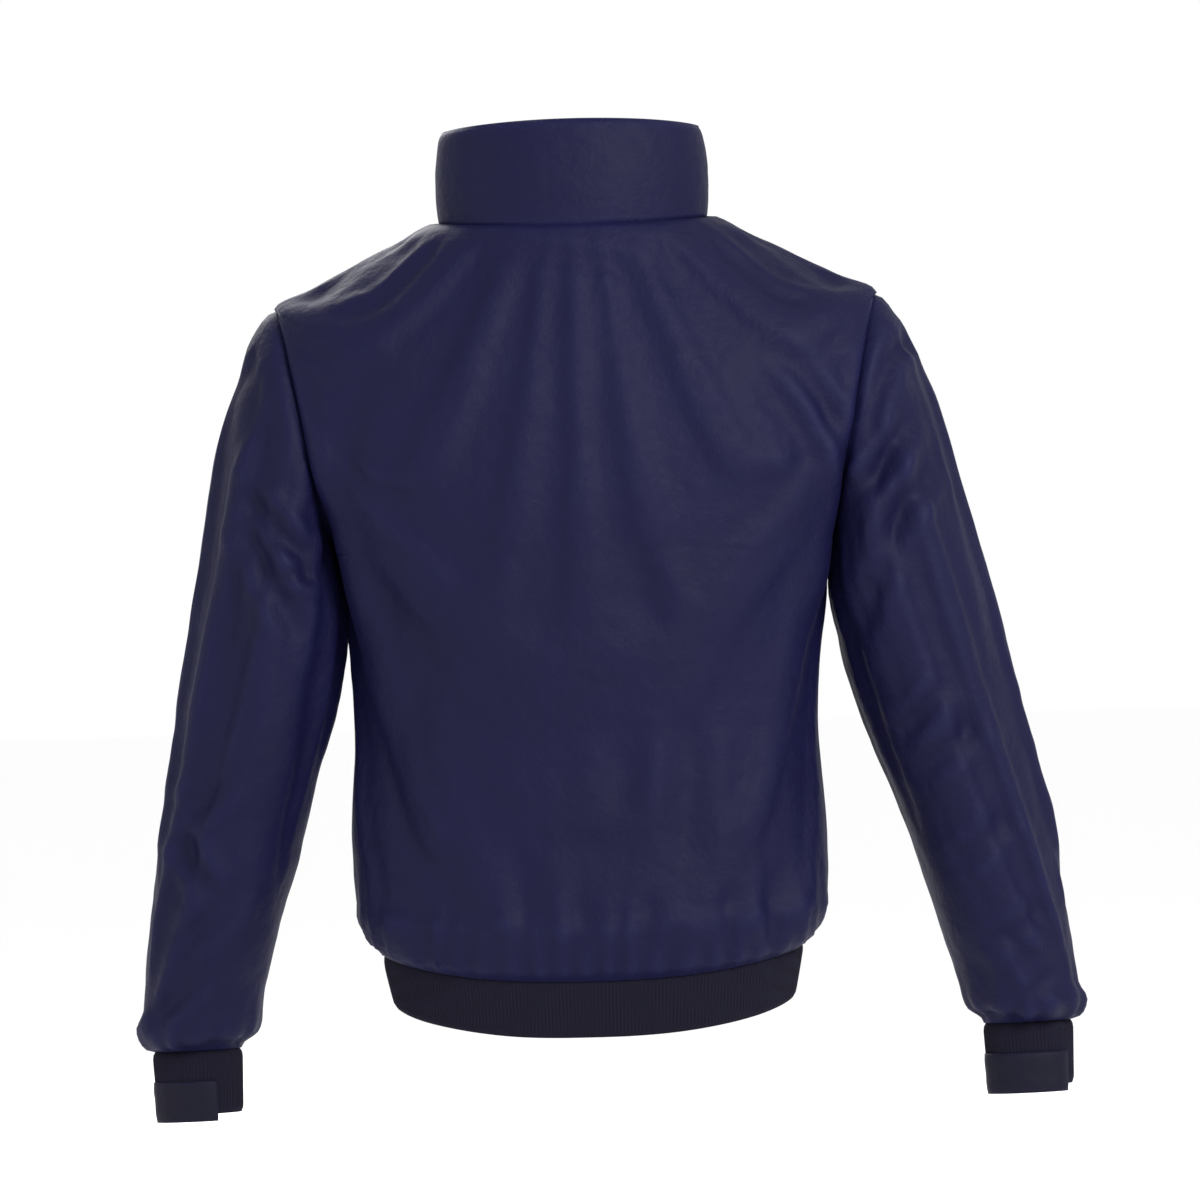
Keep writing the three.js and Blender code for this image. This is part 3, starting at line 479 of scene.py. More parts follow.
def body_height(points, across, seed):
    """The height that hanging, blousing and wear add to the body's cloth. across runs round the body, in mm."""
    normal = outward(points)
    above_hem = points[..., 2] + 628 + 20 * np.clip(normal[..., 1], 0, 1)
    up = points[..., 2]
    gather = np.exp(-np.maximum(above_hem, 0) / 34)
    blouse = np.exp(-(((above_hem - 40) / 60) ** 2))
    under_arm = np.exp(-(((np.abs(points[..., 0]) - 205) / 36) ** 2)) * np.exp(-(((up + 330) / 90) ** 2))
    made = 1.9 * rumple(across, up, 150, 210, seed)
    made += 1.6 * rumple(across, up, 60, 95, seed + 1)
    made += 3.4 * blouse * rumple(across, up, 34, 110, seed + 2)
    made += 2.4 * gather * np.sin(across * 2 * math.pi / 21 + 4 * rumple(across, up, 60, 200, seed + 3))
    made += 2.2 * under_arm * rumple(across, up, 26, 46, seed + 4)
    made += 0.45 * rumple(across, up, 15, 18, seed + 5)
    made += 4.2 * np.exp(-(((np.abs(points[..., 0]) - 205) / 22) ** 2)) * np.exp(-(((up + 318) / 36) ** 2))
    made += fold_depth(points, normal, BACK_FOLDS, 1) + fold_depth(points, normal, FRONT_FOLDS, -1)
    return made


def place_round(points, start):
    """How far round the body each point lies from the centre back, in mm, following on from another panel."""
    return start[:, None] + run_of(points, 1)


def shaped(points, height, tube=False):
    return points + outward(points, tube) * height[..., None]


def cut_cloth(pattern, tube=False):
    """Works out a piece's flat width and length from its smooth pattern, before folds and fullness; nothing uses
    them.
    """
    loop = np.concatenate([pattern, pattern[:, :1]], 1) if tube else pattern
    width, length = run_of(loop, 1)[:, -1].max() / 1000, run_of(loop, 0)[-1].max() / 1000


half_back = run_of(back_base, 1)[:, -1] / 2
back_round = place_round(back_base, -half_back)
side_round = place_round(side_base, half_back)
front_round = place_round(front_base, side_round[:, -1])


def held(points, edges, reach=26.0):
    """0 at the sewn edges and 1 away from them, so that pieces that are sewn together still meet."""
    near = edge_gaps(points)
    gap = np.full(points.shape[:2], 1e9)
    for edge in edges:
        gap = np.minimum(gap, near[edge])
    t = np.clip(gap / reach, 0, 1)
    return t * t * (3 - 2 * t)


def settled(parts, pinned, room, press, steps, tube=False):
    """How far grids of cloth, sewn together where their edges meet, move as they hang and settle, in mm.
    room is the cloth's spare length as a share, and press the wearer's and the wadding's push outward."""
    spots, corners, faces, sewn = [], {}, [], []
    for points in parts:
        index = np.empty(points.shape[:2], int)
        for spot in np.ndindex(index.shape):
            key = tuple(np.round(points[spot], 1))
            index[spot] = corners.setdefault(key, len(spots))
            if index[spot] == len(spots):
                spots.append(points[spot] / 1000)
        sewn.append(index)
        loop = np.concatenate([index, index[:, :1]], 1) if tube else index
        quads = np.stack([loop[:-1, :-1], loop[1:, :-1], loop[1:, 1:], loop[:-1, 1:]], -1).reshape(-1, 4)
        faces += [f for f in quads.tolist() if len(set(f)) == 4]
    mesh = bpy.data.meshes.new("settling")
    mesh.from_pydata(spots, [], faces)
    cloth = bpy.data.objects.new("settling", mesh)
    bpy.context.scene.collection.objects.link(cloth)
    hold = np.full(len(spots), 0.02)
    for index, pin in zip(sewn, pinned):
        hold[index[pin]] = 1.0
    group = cloth.vertex_groups.new(name="hold")
    for weight in (0.02, 1.0):
        group.add([int(i) for i in np.flatnonzero(hold == weight)], weight, "REPLACE")
    modifier = cloth.modifiers.new("cloth", "CLOTH")
    settings = modifier.settings
    settings.quality = 6
    settings.mass = 0.25
    settings.air_damping = 2.0
    settings.tension_stiffness = settings.compression_stiffness = 18
    settings.shear_stiffness = 6
    settings.bending_stiffness = 0.6
    settings.vertex_group_mass = "hold"
    settings.pin_stiffness = 0.6
    settings.shrink_min = settings.shrink_max = -room
    settings.use_pressure = press > 0
    settings.uniform_pressure_force = press
    modifier.point_cache.frame_end = steps
    scene = bpy.context.scene
    for step in range(1, steps + 1):
        scene.frame_set(step)
    hung = cloth.evaluated_get(bpy.context.evaluated_depsgraph_get()).to_mesh()
    where = np.array([v.co for v in hung.vertices]) * 1000
    bpy.data.objects.remove(cloth)
    scene.frame_set(1)
    return [where[index] - points for index, points in zip(sewn, parts)]


def finer(moves, rows, columns):
    """Moves of a coarse grid, spread smoothly over a finer one."""
    across = np.linspace(0, moves.shape[1] - 1, columns)
    down = np.linspace(0, moves.shape[0] - 1, rows)

    def spread(lines, at):
        """Each line of the grid, read at other places along it."""
        places = np.arange(lines.shape[1])
        return np.stack([[np.interp(at, places, line[:, k]) for line in lines] for k in range(3)], -1)

    made = spread(spread(moves, across).swapaxes(0, 1), down).swapaxes(0, 1)
    made[1:-1] = (made[:-2] + 2 * made[1:-1] + made[2:]) / 4
    made[:, 1:-1] = (made[:, :-2] + 2 * made[:, 1:-1] + made[:, 2:]) / 4
    return made


def broad(values, tube=False):
    """Values averaged over about a fifth of the grid each way, which round a sleeve runs on past its end."""
    for axis in (0, 1):
        half = values.shape[axis] // 10
        spare = [(half, half) if k == axis else (0, 0) for k in (0, 1)]
        padded = np.pad(values, spare, mode="wrap" if tube and axis else "reflect")
        total = np.concatenate([np.zeros_like(padded.take([0], axis)), padded.cumsum(axis)], axis)
        wide = 2 * half + 1
        count = values.shape[axis]
        values = (total.take(range(wide, wide + count), axis) - total.take(range(count), axis)) / wide
    return values


def limited(points, moves, most, tube=False):
    """The folds in the moves, without the drift of the whole, each way along the normal by at most a few mm."""
    normal = outward(points, tube)
    rise = (moves * normal).sum(-1)
    fold = rise - broad(rise, tube)
    across, up = run_of(points, 1), run_of(points, 0)
    near = np.minimum(up, up[-1:] - up)
    if not tube:
        near = np.minimum(np.minimum(across, across[:, -1:] - across), near)
    fold = fold * np.clip(near / 16, 0, 1)
    return (most * np.tanh(fold / most))[..., None] * normal


def sewn_edges(points, edges):
    pin = np.zeros(points.shape[:2], bool)
    pin[[0, -1]] = True
    if "left" in edges:
        pin[:, 0] = True
    if "right" in edges:
        pin[:, -1] = True
    return pin


SETTLING_STEPS = 28
BODY_FOLD_LIMIT, SLEEVE_FOLD_LIMIT = 3.2, 3.6  # mm
# The whole body hangs as one cloth, held at the neckline, armholes, zip and hem. In the armhole the panels'
# side edges are held; below it and over the shoulder they are only sewn to each other.
bodies = [mirrored(front_base), mirrored(side_base), back_base, side_base, front_base]
hanging = [grid[::2, ::2] for grid in bodies]
pins = [sewn_edges(grid, ()) for grid in hanging]
in_armhole = slice(BODY_ROWS // 2, (BODY_ROWS + ARMHOLE_ROWS) // 2 + 1)
pins[0][:, 0] = pins[4][:, -1] = True
pins[1][in_armhole, -1] = pins[2][in_armhole, 0] = pins[2][in_armhole, -1] = pins[3][in_armhole, 0] = True
body_moves = [
    limited(grid, finer(moves, *grid.shape[:2]), BODY_FOLD_LIMIT)
    for grid, moves in zip(bodies, settled(hanging, pins, 0.04, 0.8, SETTLING_STEPS))
]


# Each hand pocket's slot runs from its top to its foot, in x and z.
POCKET_TOP, POCKET_FOOT = np.array([120.0, -428.0]), np.array([152.0, -577.0])


def free_of_pocket(points):
    """1 over most of the body and near 0 round a pocket's stiff welt, which holds the cloth flat."""
    spot = np.stack([np.abs(points[..., 0]), points[..., 2]], -1)
    way = POCKET_FOOT - POCKET_TOP
    t = np.clip((spot - POCKET_TOP) @ way / (way @ way), 0, 1)
    gap = np.linalg.norm(spot - POCKET_TOP - t[..., None] * way, axis=-1)
    at_front = points[..., 1] < SIDE_Y - 20
    return 1 - 0.95 * np.exp(-((gap / 24) ** 4)) * at_front


def finished_panel(points, across, seed, edges, moves):
    """Seams run down a panel's sides, along the hem and along the neckline."""
    quiet = free_of_pocket(points)
    moves = moves * quiet[..., None]
    height = body_height(points, across, seed) * (0.25 + 0.75 * held(points, edges)) * quiet
    up = run_of(points, 0)
    tucked = -1.6 * np.exp(-(((up[-1:] - up) / 2.5) ** 2))
    made = shaped(points, height * held(points, ["foot", "head"], 9.0) + seam_pull(points, edges + ["foot"]) + tucked)
    made = made + moves
    made[0, :, 2] -= 2.2  # the hem's edge is turned down over the band
    made[-1, :, 2] += 2.0  # and the neck's edge is tucked up inside the collar
    return made


back_points = finished_panel(back_base, back_round, 1, ["left", "right"], body_moves[2])
side_points = {
    "left": finished_panel(side_base, side_round, 20, ["left", "right"], body_moves[3]),
    "right": finished_panel(mirrored(side_base), -side_round[:, ::-1], 40, ["left", "right"], body_moves[1]),
}
front_points = {
    "left": finished_panel(front_base, front_round, 60, ["left", "right"], body_moves[4]),
    "right": finished_panel(mirrored(front_base), -front_round[:, ::-1], 80, ["left", "right"], body_moves[0]),
}

SIDES = (("left", 1), ("right", -1))


def swings_with_front(obj):
    """The cloth beside the zip, with its placement baked into its mesh; nothing here bends it or moves it with the
    front.
    """
    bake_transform(obj)


back_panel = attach(cloth_piece("back_panel_cloth", back_points, woven_nylon, SHELL_THICK), "garment")
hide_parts("back_panel")
cut_cloth(back_base)
for side, turn in SIDES:
    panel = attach(cloth_piece(f"side_panel_{side}_cloth", side_points[side], woven_nylon, SHELL_THICK), "garment")
    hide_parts(f"side_panel_{side}")
    cut_cloth(side_base)
    panel = cloth_piece(f"front_panel_{side}_cloth", front_points[side], woven_nylon, SHELL_THICK)
    swings_with_front(panel)
    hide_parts(f"front_panel_{side}")
    cut_cloth(front_base)

# ---- Fleece inside the body ----
# Knitted polyester fleece, brushed on the side that shows. A short dense pile scatters light softly and
# shows as small clumps, with no shine.
FLEECE_NAVY = "#14172B"
FLEECE_TIP = "#22263F"
FLEECE_CLUMP = 0.0035  # m across a clump of pile


def brushed_fleece():
    material, tree = new_material("brushed_fleece_navy")
    place = in_piece(tree)
    clumps = add(tree, "ShaderNodeTexVoronoi", {"Vector": place, "Scale": 1 / FLEECE_CLUMP, "Randomness": 1.0})
    pile = speckle(tree, place, 1400.0, 3.0)
    lie = speckle(tree, place, 26.0, 3.0)
    height = add(tree, "ShaderNodeMath", {0: clumps.outputs["Distance"], 1: pile}, operation="ADD")
    colour = mixed(tree, lie, linear(FLEECE_NAVY), linear(FLEECE_TIP))
    bump = bumped(tree, height.outputs["Value"], 0.8, 0.0012)
    return finished(material, tree, {
        "Base Color": colour,
        "Roughness": 0.95,
        "Normal": bump,
        "Specular IOR Level": 0.15,
        "Sheen Weight": 0.2,
        "Sheen Roughness": 0.6,
        "Sheen Tint": linear("#59608A"),
        "IOR": 1.5,
    })


fleece = brushed_fleece()


def eased(points, left=1.2, right=1.2):
    """A lining is cut a little narrower than its shell, so its edge columns move in, in mm."""
    made = points.copy()
    across = run_of(points, 1)
    total = across[:, -1:]
    wanted = left + (total - left - right) * across / total
    for axis in range(3):
        for row in range(len(points)):
            made[row, :, axis] = np.interp(wanted[row], across[row], points[row, :, axis])
    return made


def fleece_panel(name, base, shell, left=1.2, right=1.2):
    """The fleece follows its shell's larger folds at a distance, and hangs more smoothly."""
    soft = base + (shell - base) * 0.75
    return cloth_piece(name, eased(soft, left, right)[::2, ::2], fleece, FLEECE_THICK, depth=LINING_DEPTH)


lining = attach(fleece_panel("back_fleece", back_base, back_points), "garment")
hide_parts("back_lining")
cut_cloth(back_base)
for side, turn in SIDES:
    base = side_base if side == "left" else mirrored(side_base)
    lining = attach(fleece_panel(f"side_fleece_{side}", base, side_points[side]), "garment")
    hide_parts(f"side_lining_{side}")
    cut_cloth(base)
    base = front_base if side == "left" else mirrored(front_base)
    inner = {"left": (1.2, 11.6), "right": (11.6, 1.2)}[side]
    lining = fleece_panel(f"front_fleece_{side}", base, front_points[side], *inner)
    swings_with_front(lining)
    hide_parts(f"front_lining_{side}")
    cut_cloth(eased(base, *inner))

# ---- Collar ----
# A stand of shell cloth over light wadding, in a back piece and two fronts, sewn to the neckline and lined
# with the fleece. Its top edge is turned, and its seam with the body pulls a shallow groove.
COLLAR_TOP_Z = 58.0
COLLAR_ROWS, COLLAR_BACK_COLUMNS = 20, 96
COLLAR_FLEECE_THICK = 2.5
COLLAR_LINING_DEPTH = 2.0
COLLAR_RINGS = [
    (NECK_Z + 0.4, 113, 5, 59, 12.6, 0, 2),
    (12.04, 113.3, 0.2, 39, 10.5, 0, 2),
    (COLLAR_TOP_Z, 110, -7, 9, 5.6, 0, 2),
]
collar, collar_front = ring_surface(COLLAR_RINGS)
collar_heights = np.linspace(NECK_Z, COLLAR_TOP_Z, COLLAR_ROWS + 1)
collar_fold = collar_front(collar_heights, FOLD_X)
collar_zip = collar_front(collar_heights, ZIP_EDGE_X)
collar_back_base = even_panel(collar, collar_heights, -collar_fold, collar_fold, COLLAR_BACK_COLUMNS)
collar_front_base = even_panel(collar, collar_heights, collar_fold, collar_zip, 18)


def collar_shape(points, seed):
    across, up = run_of(points, 1), run_of(points, 0)
    total = up[-1:]
    swell = 1.6 * np.sin(np.pi * np.clip(up / total, 0, 1)) ** 0.7
    turned_edge = -2.2 * np.exp(-(((total - up) / 3.4) ** 2))
    height = swell + turned_edge
    height = height + 0.9 * rumple(across, up, 46, 30, seed) + 0.35 * rumple(across, up, 15, 12, seed + 1)
    height = height * held(points, ["foot"], 6.0) - 0.7 * np.exp(-((up / 3.0) ** 2))
    made = shaped(points, height)
    made[0, :, 2] -= 1.2
    return made


collar_back_points = collar_shape(collar_back_base, 101)
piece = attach(cloth_piece("collar_back_cloth", collar_back_points, woven_nylon, SHELL_THICK), "garment")
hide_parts("collar_back")
cut_cloth(collar_back_base)
collar_lining = {"thick": COLLAR_FLEECE_THICK, "depth": COLLAR_LINING_DEPTH}
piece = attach(cloth_piece("collar_back_fleece", collar_back_base[:, ::2], fleece, **collar_lining), "garment")
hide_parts("collar_back_lining")
cut_cloth(collar_back_base)
for side, turn in SIDES:
    base = collar_front_base if side == "left" else mirrored(collar_front_base)
    piece = cloth_piece(f"collar_front_{side}_cloth", collar_shape(base, 110 + turn), woven_nylon, SHELL_THICK)
    swings_with_front(piece)
    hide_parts(f"collar_front_{side}")
    cut_cloth(base)
    inner = {"left": (0.4, 11.6), "right": (11.6, 0.4)}[side]
    piece = cloth_piece(f"collar_front_{side}_fleece", eased(base, *inner), fleece, **collar_lining)
    swings_with_front(piece)
    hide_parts(f"collar_front_lining_{side}")
    cut_cloth(eased(base, *inner))

# ---- Knitted hem band ----
# A two-by-two rib knitted from wool-look acrylic, doubled and sewn to the hem, where it draws the body in.
# The ribs stand about half a millimetre proud, and the yarn is matt with a slight halo.
RIB_YARN = "#0F0D1E"
# The darker colour painted in the hollows between the ribs: painted shade.
RIB_PAINTED_SHADE = "#090813"
RIB_PITCH = 3.2  # mm from rib to rib
RIB_THICK = 3.0
BAND_RINGS = [
    (HEM_Z - 0.4, 177, 25, 12, 24, 2, 2.3),
    (-674.9, 168, 27, 12, 16, 0, 2.3),
]


def rib_knit():
    material, tree = new_material("rib_knit_navy_black")
    cloth = on_cloth(tree)
    ribs = waves(tree, cloth, RIB_PITCH / 1000, 0.2, "X")
    stitches = waves(tree, cloth, 0.0013, 0.6, "Y")
    fuzz = speckle(tree, cloth, 900.0, 4.0)
    loops = add(tree, "ShaderNodeMath", {0: stitches, 1: fuzz}, operation="ADD")
    # The rib bands colour the hollows darker than the yarn: painted shade.
    colour = mixed(tree, ribs, linear(RIB_PAINTED_SHADE), linear(RIB_YARN))
    bump = bumped(tree, loops.outputs["Value"], 0.55, 0.0004)
    return finished(material, tree, {
        "Base Color": colour,
        "Roughness": 0.92,
        "Specular IOR Level": 0.15,
        "Normal": bump,
        "Sheen Weight": 0.08,
        "Sheen Roughness": 0.5,
        "Sheen Tint": linear("#4B4866"),
        "IOR": 1.5,
    })


knit = rib_knit()
band, band_front = ring_surface(BAND_RINGS)
band_heights = np.linspace(-674.9, HEM_Z - 0.4, 13)
band_fold = band_front(band_heights, FOLD_X + 0.4)
band_line = band(-650, np.linspace(-2.6, 2.6, 400))
band_columns = int(np.linalg.norm(np.diff(band_line, axis=0), axis=1).sum() / RIB_PITCH) * 6


def ribbed(points, pitch_columns, tube=False):
    """Ribs stand up from foot to head and lie down a little where they are sewn."""
    columns = np.arange(points.shape[1])
    rib = 0.6 * (0.5 + 0.5 * np.cos(2 * math.pi * columns / pitch_columns)) - 0.35
    up = run_of(points, 0)
    total = up[-1:]
    rounded = -1.3 * np.exp(-((up / 2.6) ** 2)) - 2.8 * np.exp(-(((total - up) / 3.2) ** 2))
    return shaped(points, rib * held(points, ["foot", "head"], 5.0) + rounded, tube)


band_base = even_panel(band, band_heights, -band_fold, band_fold, band_columns)
across, up = run_of(band_base, 1), run_of(band_base, 0)
band_wave = 1.6 * rumple(across, up, 62, 90, 130) * held(band_base, ["head", "left", "right"], 16.0)
band_points = ribbed(shaped(band_base, band_wave), 6)
band_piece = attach(cloth_piece("hem_band_rib", band_points, knit, RIB_THICK), "garment")
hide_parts("hem_band")
cut_cloth(band_base)

band_tab_fold = band_front(band_heights, FOLD_X)
band_tab_zip = band_front(band_heights, ZIP_EDGE_X)
tab_base = even_panel(band, band_heights, band_tab_fold, band_tab_zip, 18)
for side, turn in SIDES:
    base = tab_base if side == "left" else mirrored(tab_base)
    height = seam_pull(base, ["left", "right", "foot", "head"])
    piece = cloth_piece(f"hem_tab_{side}_cloth", shaped(base, height), woven_nylon, SHELL_THICK)
    swings_with_front(piece)
    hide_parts(f"hem_tab_{side}")
    cut_cloth(tab_base)

# ---- Sleeves ----
# Set-in sleeves of the shell cloth, each cut in one piece with an underarm seam, eased into the armhole and
# gathered into the cuff. They hang bent forward a little, so cloth folds at the elbow and under the arm.
SLEEVE_DROP = 617.0
WRIST_X, WRIST_Y = 350.0, -100.0
CUFF_HALF_WIDTH, CUFF_HALF_DEPTH, CUFF_HEIGHT = 38.0, 31.0, 55.0
SLEEVE_SPLAY = {"left": -1.3, "right": 1.3}  # degrees
# Outer reach and share of the drop, inner reach and share, half depth, and share of the way forward.
SLEEVE_SECTIONS = [
    (31, 0.073, -1, 0.053, 78, 0),
    (52, 0.17, -4.5, 0.1, 80, 0),
    (68, 0.285, -6, 0.152, 79, 0.03),
    (83, 0.395, -4.5, 0.215, 76, 0.09),
    (98, 0.51, 7, 0.325, 73, 0.2),
    (111, 0.608, 27, 0.467, 69, 0.33),
    (124, 0.708, 46, 0.608, 65, 0.48),
    (136, 0.806, 62, 0.741, 60, 0.64),
    (145, 0.9, 76, 0.867, 54, 0.8),
    (148, 0.956, 85, 0.944, 50, 0.9),
    (146, 0.982, 93, 0.978, 44, 0.96),
]
SLEEVE_ROWS, SLEEVE_COLUMNS = 110, 88


def swung(points, side, share):
    """A sleeve's points turned out from the shoulder by its splay, which grows over its first third."""
    t = min(1, max(0, share / 0.35))
    angle = math.radians(SLEEVE_SPLAY[side]) * t * t * (3 - 2 * t)
    x, z = points[..., 0] - SHOULDER_HALF, points[..., 2] - SHOULDER_Z
    turned_x = x * math.cos(angle) - z * math.sin(angle)
    turned_z = x * math.sin(angle) + z * math.cos(angle)
    return np.stack([turned_x + SHOULDER_HALF, points[..., 1], turned_z + SHOULDER_Z], -1)


def through(stations, place):
    """Points of a centripetal curve through stations, at places from 0 to 1."""
    first, last = 2 * stations[0] - stations[1], 2 * stations[-1] - stations[-2]
    p = np.concatenate([first[None], stations, last[None]])
    gap = np.maximum(np.linalg.norm(np.diff(p, axis=0), axis=-1, keepdims=True) ** 0.5, 1e-4)
    made = []
    for share in place:
        at = share * (len(stations) - 1)
        i = min(int(at), len(stations) - 2)
        t = at - i
        a, b, c, d = p[i : i + 4]
        before, here, after = gap[i : i + 3]
        start = ((b - a) / before - (c - a) / (before + here) + (c - b) / here) * here
        end = ((c - b) / here - (d - b) / (here + after) + (d - c) / after) * here
        made.append(
            (2 * t**3 - 3 * t**2 + 1) * b
            + (t**3 - 2 * t**2 + t) * start
            + (3 * t**2 - 2 * t**3) * c
            + (t**3 - t**2) * end
        )
    return np.array(made)


def sleeve_grid(side):
    """Rows from the cuff seam up to the armhole, and columns round the sleeve from its top to its back."""
    turn = np.linspace(0, 2 * math.pi, SLEEVE_COLUMNS, endpoint=False)
    height = middle_z + (SHOULDER_Z - UNDERARM_Z) / 2 * np.cos(turn)
    at_back = np.sin(turn) > 0
    edge = np.where(at_back, math.pi / 2 - armhole_angle(height, -1), math.pi / 2 + armhole_angle(height, 1))
    stations = [body(height, edge)]

    def section(outer_x, outer_z, inner_x, inner_z, half_depth, y, share):
        reach_x = (outer_x + inner_x) / 2 + (outer_x - inner_x) / 2 * np.cos(turn)
        reach_z = (outer_z + inner_z) / 2 + (outer_z - inner_z) / 2 * np.cos(turn)
        stations.append(swung(np.stack([reach_x, y + half_depth * np.sin(turn), reach_z], -1), side, share))

    for out_reach, out_share, in_reach, in_share, half_depth, forward in SLEEVE_SECTIONS:
        section(
            SHOULDER_HALF + out_reach,
            SHOULDER_Z - out_share * SLEEVE_DROP,
            CHEST_HALF + in_reach,
            UNDERARM_Z - in_share * (SLEEVE_DROP - SHOULDER_Z + UNDERARM_Z),
            half_depth,
            SIDE_Y + (WRIST_Y - SIDE_Y) * forward,
            out_share,
        )
    wrist_z = SHOULDER_Z - SLEEVE_DROP
    section(WRIST_X + CUFF_HALF_WIDTH, wrist_z, WRIST_X - CUFF_HALF_WIDTH, wrist_z, CUFF_HALF_DEPTH, WRIST_Y, 1)
    stations = np.array(stations)
    dense = np.linspace(0, 1, 240)
    middle = through(stations, dense)
    run = np.concatenate([[0], np.cumsum(np.linalg.norm(np.diff(middle, axis=0), axis=2).mean(axis=1))])
    even = np.interp(np.linspace(0, run[-1], SLEEVE_ROWS + 1), run, dense)
    grid = through(stations, even)[::-1]
    return grid[:, ::-1] if side == "left" else grid * np.array([-1, 1, 1])


SLEEVE_FOLDS = {
    "left": [
        ([(284, -236), (262, -262), (226, -306)], 5.0, 8),
        ([(284, -252), (268, -296), (238, -362)], 4.6, 9),
        ([(252, -306), (222, -312)], 2.6, 6),
        ([(262, -150), (270, -200), (262, -240)], 2.4, 11),
        ([(300, -300), (292, -380), (300, -440)], 2.2, 14),
        ([(345, -520), (332, -548), (318, -576)], 4.2, 8),
        ([(300, -470), (322, -500), (352, -506)], 2.6, 9),
        ([(290, -560), (318, -600), (352, -612)], 2.8, 9),
        ([(330, -640), (352, -668), (372, -676)], 2.6, 7),
    ],
    "right": [
        ([(-281, -124), (-258, -142), (-246, -188)], 4.4, 8),
        ([(-278, -190), (-252, -232), (-230, -258)], 4.8, 8),
        ([(-296, -230), (-266, -274), (-248, -308)], 4.8, 9),
        ([(-262, -300), (-240, -340), (-232, -380)], 2.8, 9),
        ([(-300, -412), (-284, -436), (-260, -456)], 3.6, 8),
        ([(-330, -440), (-306, -470), (-276, -486)], 3.2, 9),
        ([(-352, -520), (-330, -552), (-300, -566)], 2.8, 9),
        ([(-380, -600), (-352, -628), (-322, -632)], 2.6, 8),
        ([(-392, -650), (-372, -676), (-350, -680)], 2.4, 7),
    ],
}
SLEEVE_FRONT_FOLDS = {
    "left": [
        ([(280, -220), (258, -258), (232, -300)], 4.4, 9),
        ([(330, -430), (308, -460), (276, -470)], 4.4, 9),
        ([(340, -480), (316, -500), (286, -506)], 3.8, 9),
    ],
    "right": [
        ([(-280, -220), (-258, -258), (-232, -300)], 4.4, 9),
        ([(-350, -440), (-320, -468), (-286, -476)], 4.4, 9),
        ([(-360, -488), (-334, -508), (-300, -512)], 3.8, 9),
    ],
}


def sleeve_shape(points, side, seed):
    normal = outward(points, True)
    up = run_of(points, 0).mean(axis=1, keepdims=True) * np.ones(points.shape[:2])
    total = up.max()
    turn = np.linspace(0, 2 * math.pi, points.shape[1], endpoint=False)[None, :] * np.ones(points.shape[:2])
    # Noise is read on a circle, so that it closes round the sleeve.
    loop_x, loop_y = np.cos(turn) * 88, np.sin(turn) * 88

    def lumps(wide, tall, layer):
        flat = zip((loop_x / wide).ravel(), (loop_y / wide).ravel(), (up / tall).ravel())
        made = [noise.noise(Vector((a, b, c + 11.7 * (seed + layer)))) for a, b, c in flat]
        return np.array(made).reshape(up.shape)

    gather = np.exp(-up / 26)
    head = np.exp(-((total - up) / 20))
    elbow = np.exp(-(((up - 250) / 90) ** 2))
    made = 2.4 * lumps(110, 120, 0) + 1.7 * lumps(46, 44, 1) * (0.5 + elbow)
    made += 3.6 * gather * np.sin(13 * turn + 3.5 * lumps(60, 60, 2)) * (0.6 + 0.6 * lumps(50, 200, 3))
    made += 0.8 * head * np.sin(34 * turn)
    made += 0.4 * lumps(15, 15, 4)
    made += (
        fold_depth(points, normal, SLEEVE_FOLDS[side], 1)
        + fold_depth(points, normal, SLEEVE_FRONT_FOLDS[side], -1)
    )
    made += 4.2 * np.clip(1.6 - 2 * np.abs(turn - math.pi), 0, 1) * np.exp(-(((points[..., 2] + 322) / 38) ** 2))
    kept = np.clip(np.minimum(up / 9, (total - up) / 14), 0, 1)
    below = total - up  # from the armhole seam
    seams = -1.0 * np.exp(-((up / 3.2) ** 2)) - 0.9 * np.exp(-((below / 3.4) ** 2))
    seams = seams + 0.9 * np.exp(-(((below - 9) / 5) ** 2))
    hanging = points[::2]
    moves = settled([hanging], [sewn_edges(hanging, ())], 0.05, 0.35, SETTLING_STEPS, True)[0]
    moves = limited(points, finer(moves, *points.shape[:2]), SLEEVE_FOLD_LIMIT, True)
    points = shaped(points, made * kept + seams, True) + moves
    points[0, :, 2] -= 2.0  # the sleeve's end is turned down over the cuff
    allowance = points[-1:] - outward(points, True)[-1:] * 1.6 - np.array([6.0 if side == "left" else -6.0, 0, 0])
    return np.concatenate([points, allowance])


def lining_nylon():
    """A smooth nylon taffeta, thinner and glossier than the shell, so that arms slide in."""
    material, tree = new_material("lining_taffeta_navy")
    cloth = on_cloth(tree)
    place = in_piece(tree)
    crinkles_and_shade = speckle(tree, place, 60.0, 5.0)
    threads = waves(tree, cloth, 0.0006, 0.0, "X")
    # The crinkles' own height also sets the colour, paler where they stand up and darker between them: painted light
    # and shade.
    colour = mixed(tree, crinkles_and_shade, linear("#1B1E33"), linear("#2A2F4B"))
    fine = bumped(tree, threads, 0.2, 0.0001)
    bump = bumped(tree, crinkles_and_shade, 0.5, 0.002, fine)
    return finished(material, tree, {
        "Base Color": colour,
        "Roughness": 0.38,
        "Normal": bump,
        "IOR": 1.5,
    })


taffeta = lining_nylon()
for side, turn in SIDES:
    base = sleeve_grid(side)
    points = sleeve_shape(base, side, 150 if side == "left" else 170)
    sleeve = cloth_piece(f"sleeve_{side}_cloth", points, woven_nylon, SHELL_THICK, tube=True)
    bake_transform(sleeve)
    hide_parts(f"sleeve_{side}")
    cut_cloth(base, True)
    inside = points[3:-5:2]
    inner = cloth_piece(f"sleeve_{side}_lining", inside, taffeta, 1.5, depth=3.6, tube=True)
    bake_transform(inner)
    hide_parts(f"sleeve_lining_{side}")
    cut_cloth(base[3:-5], True)

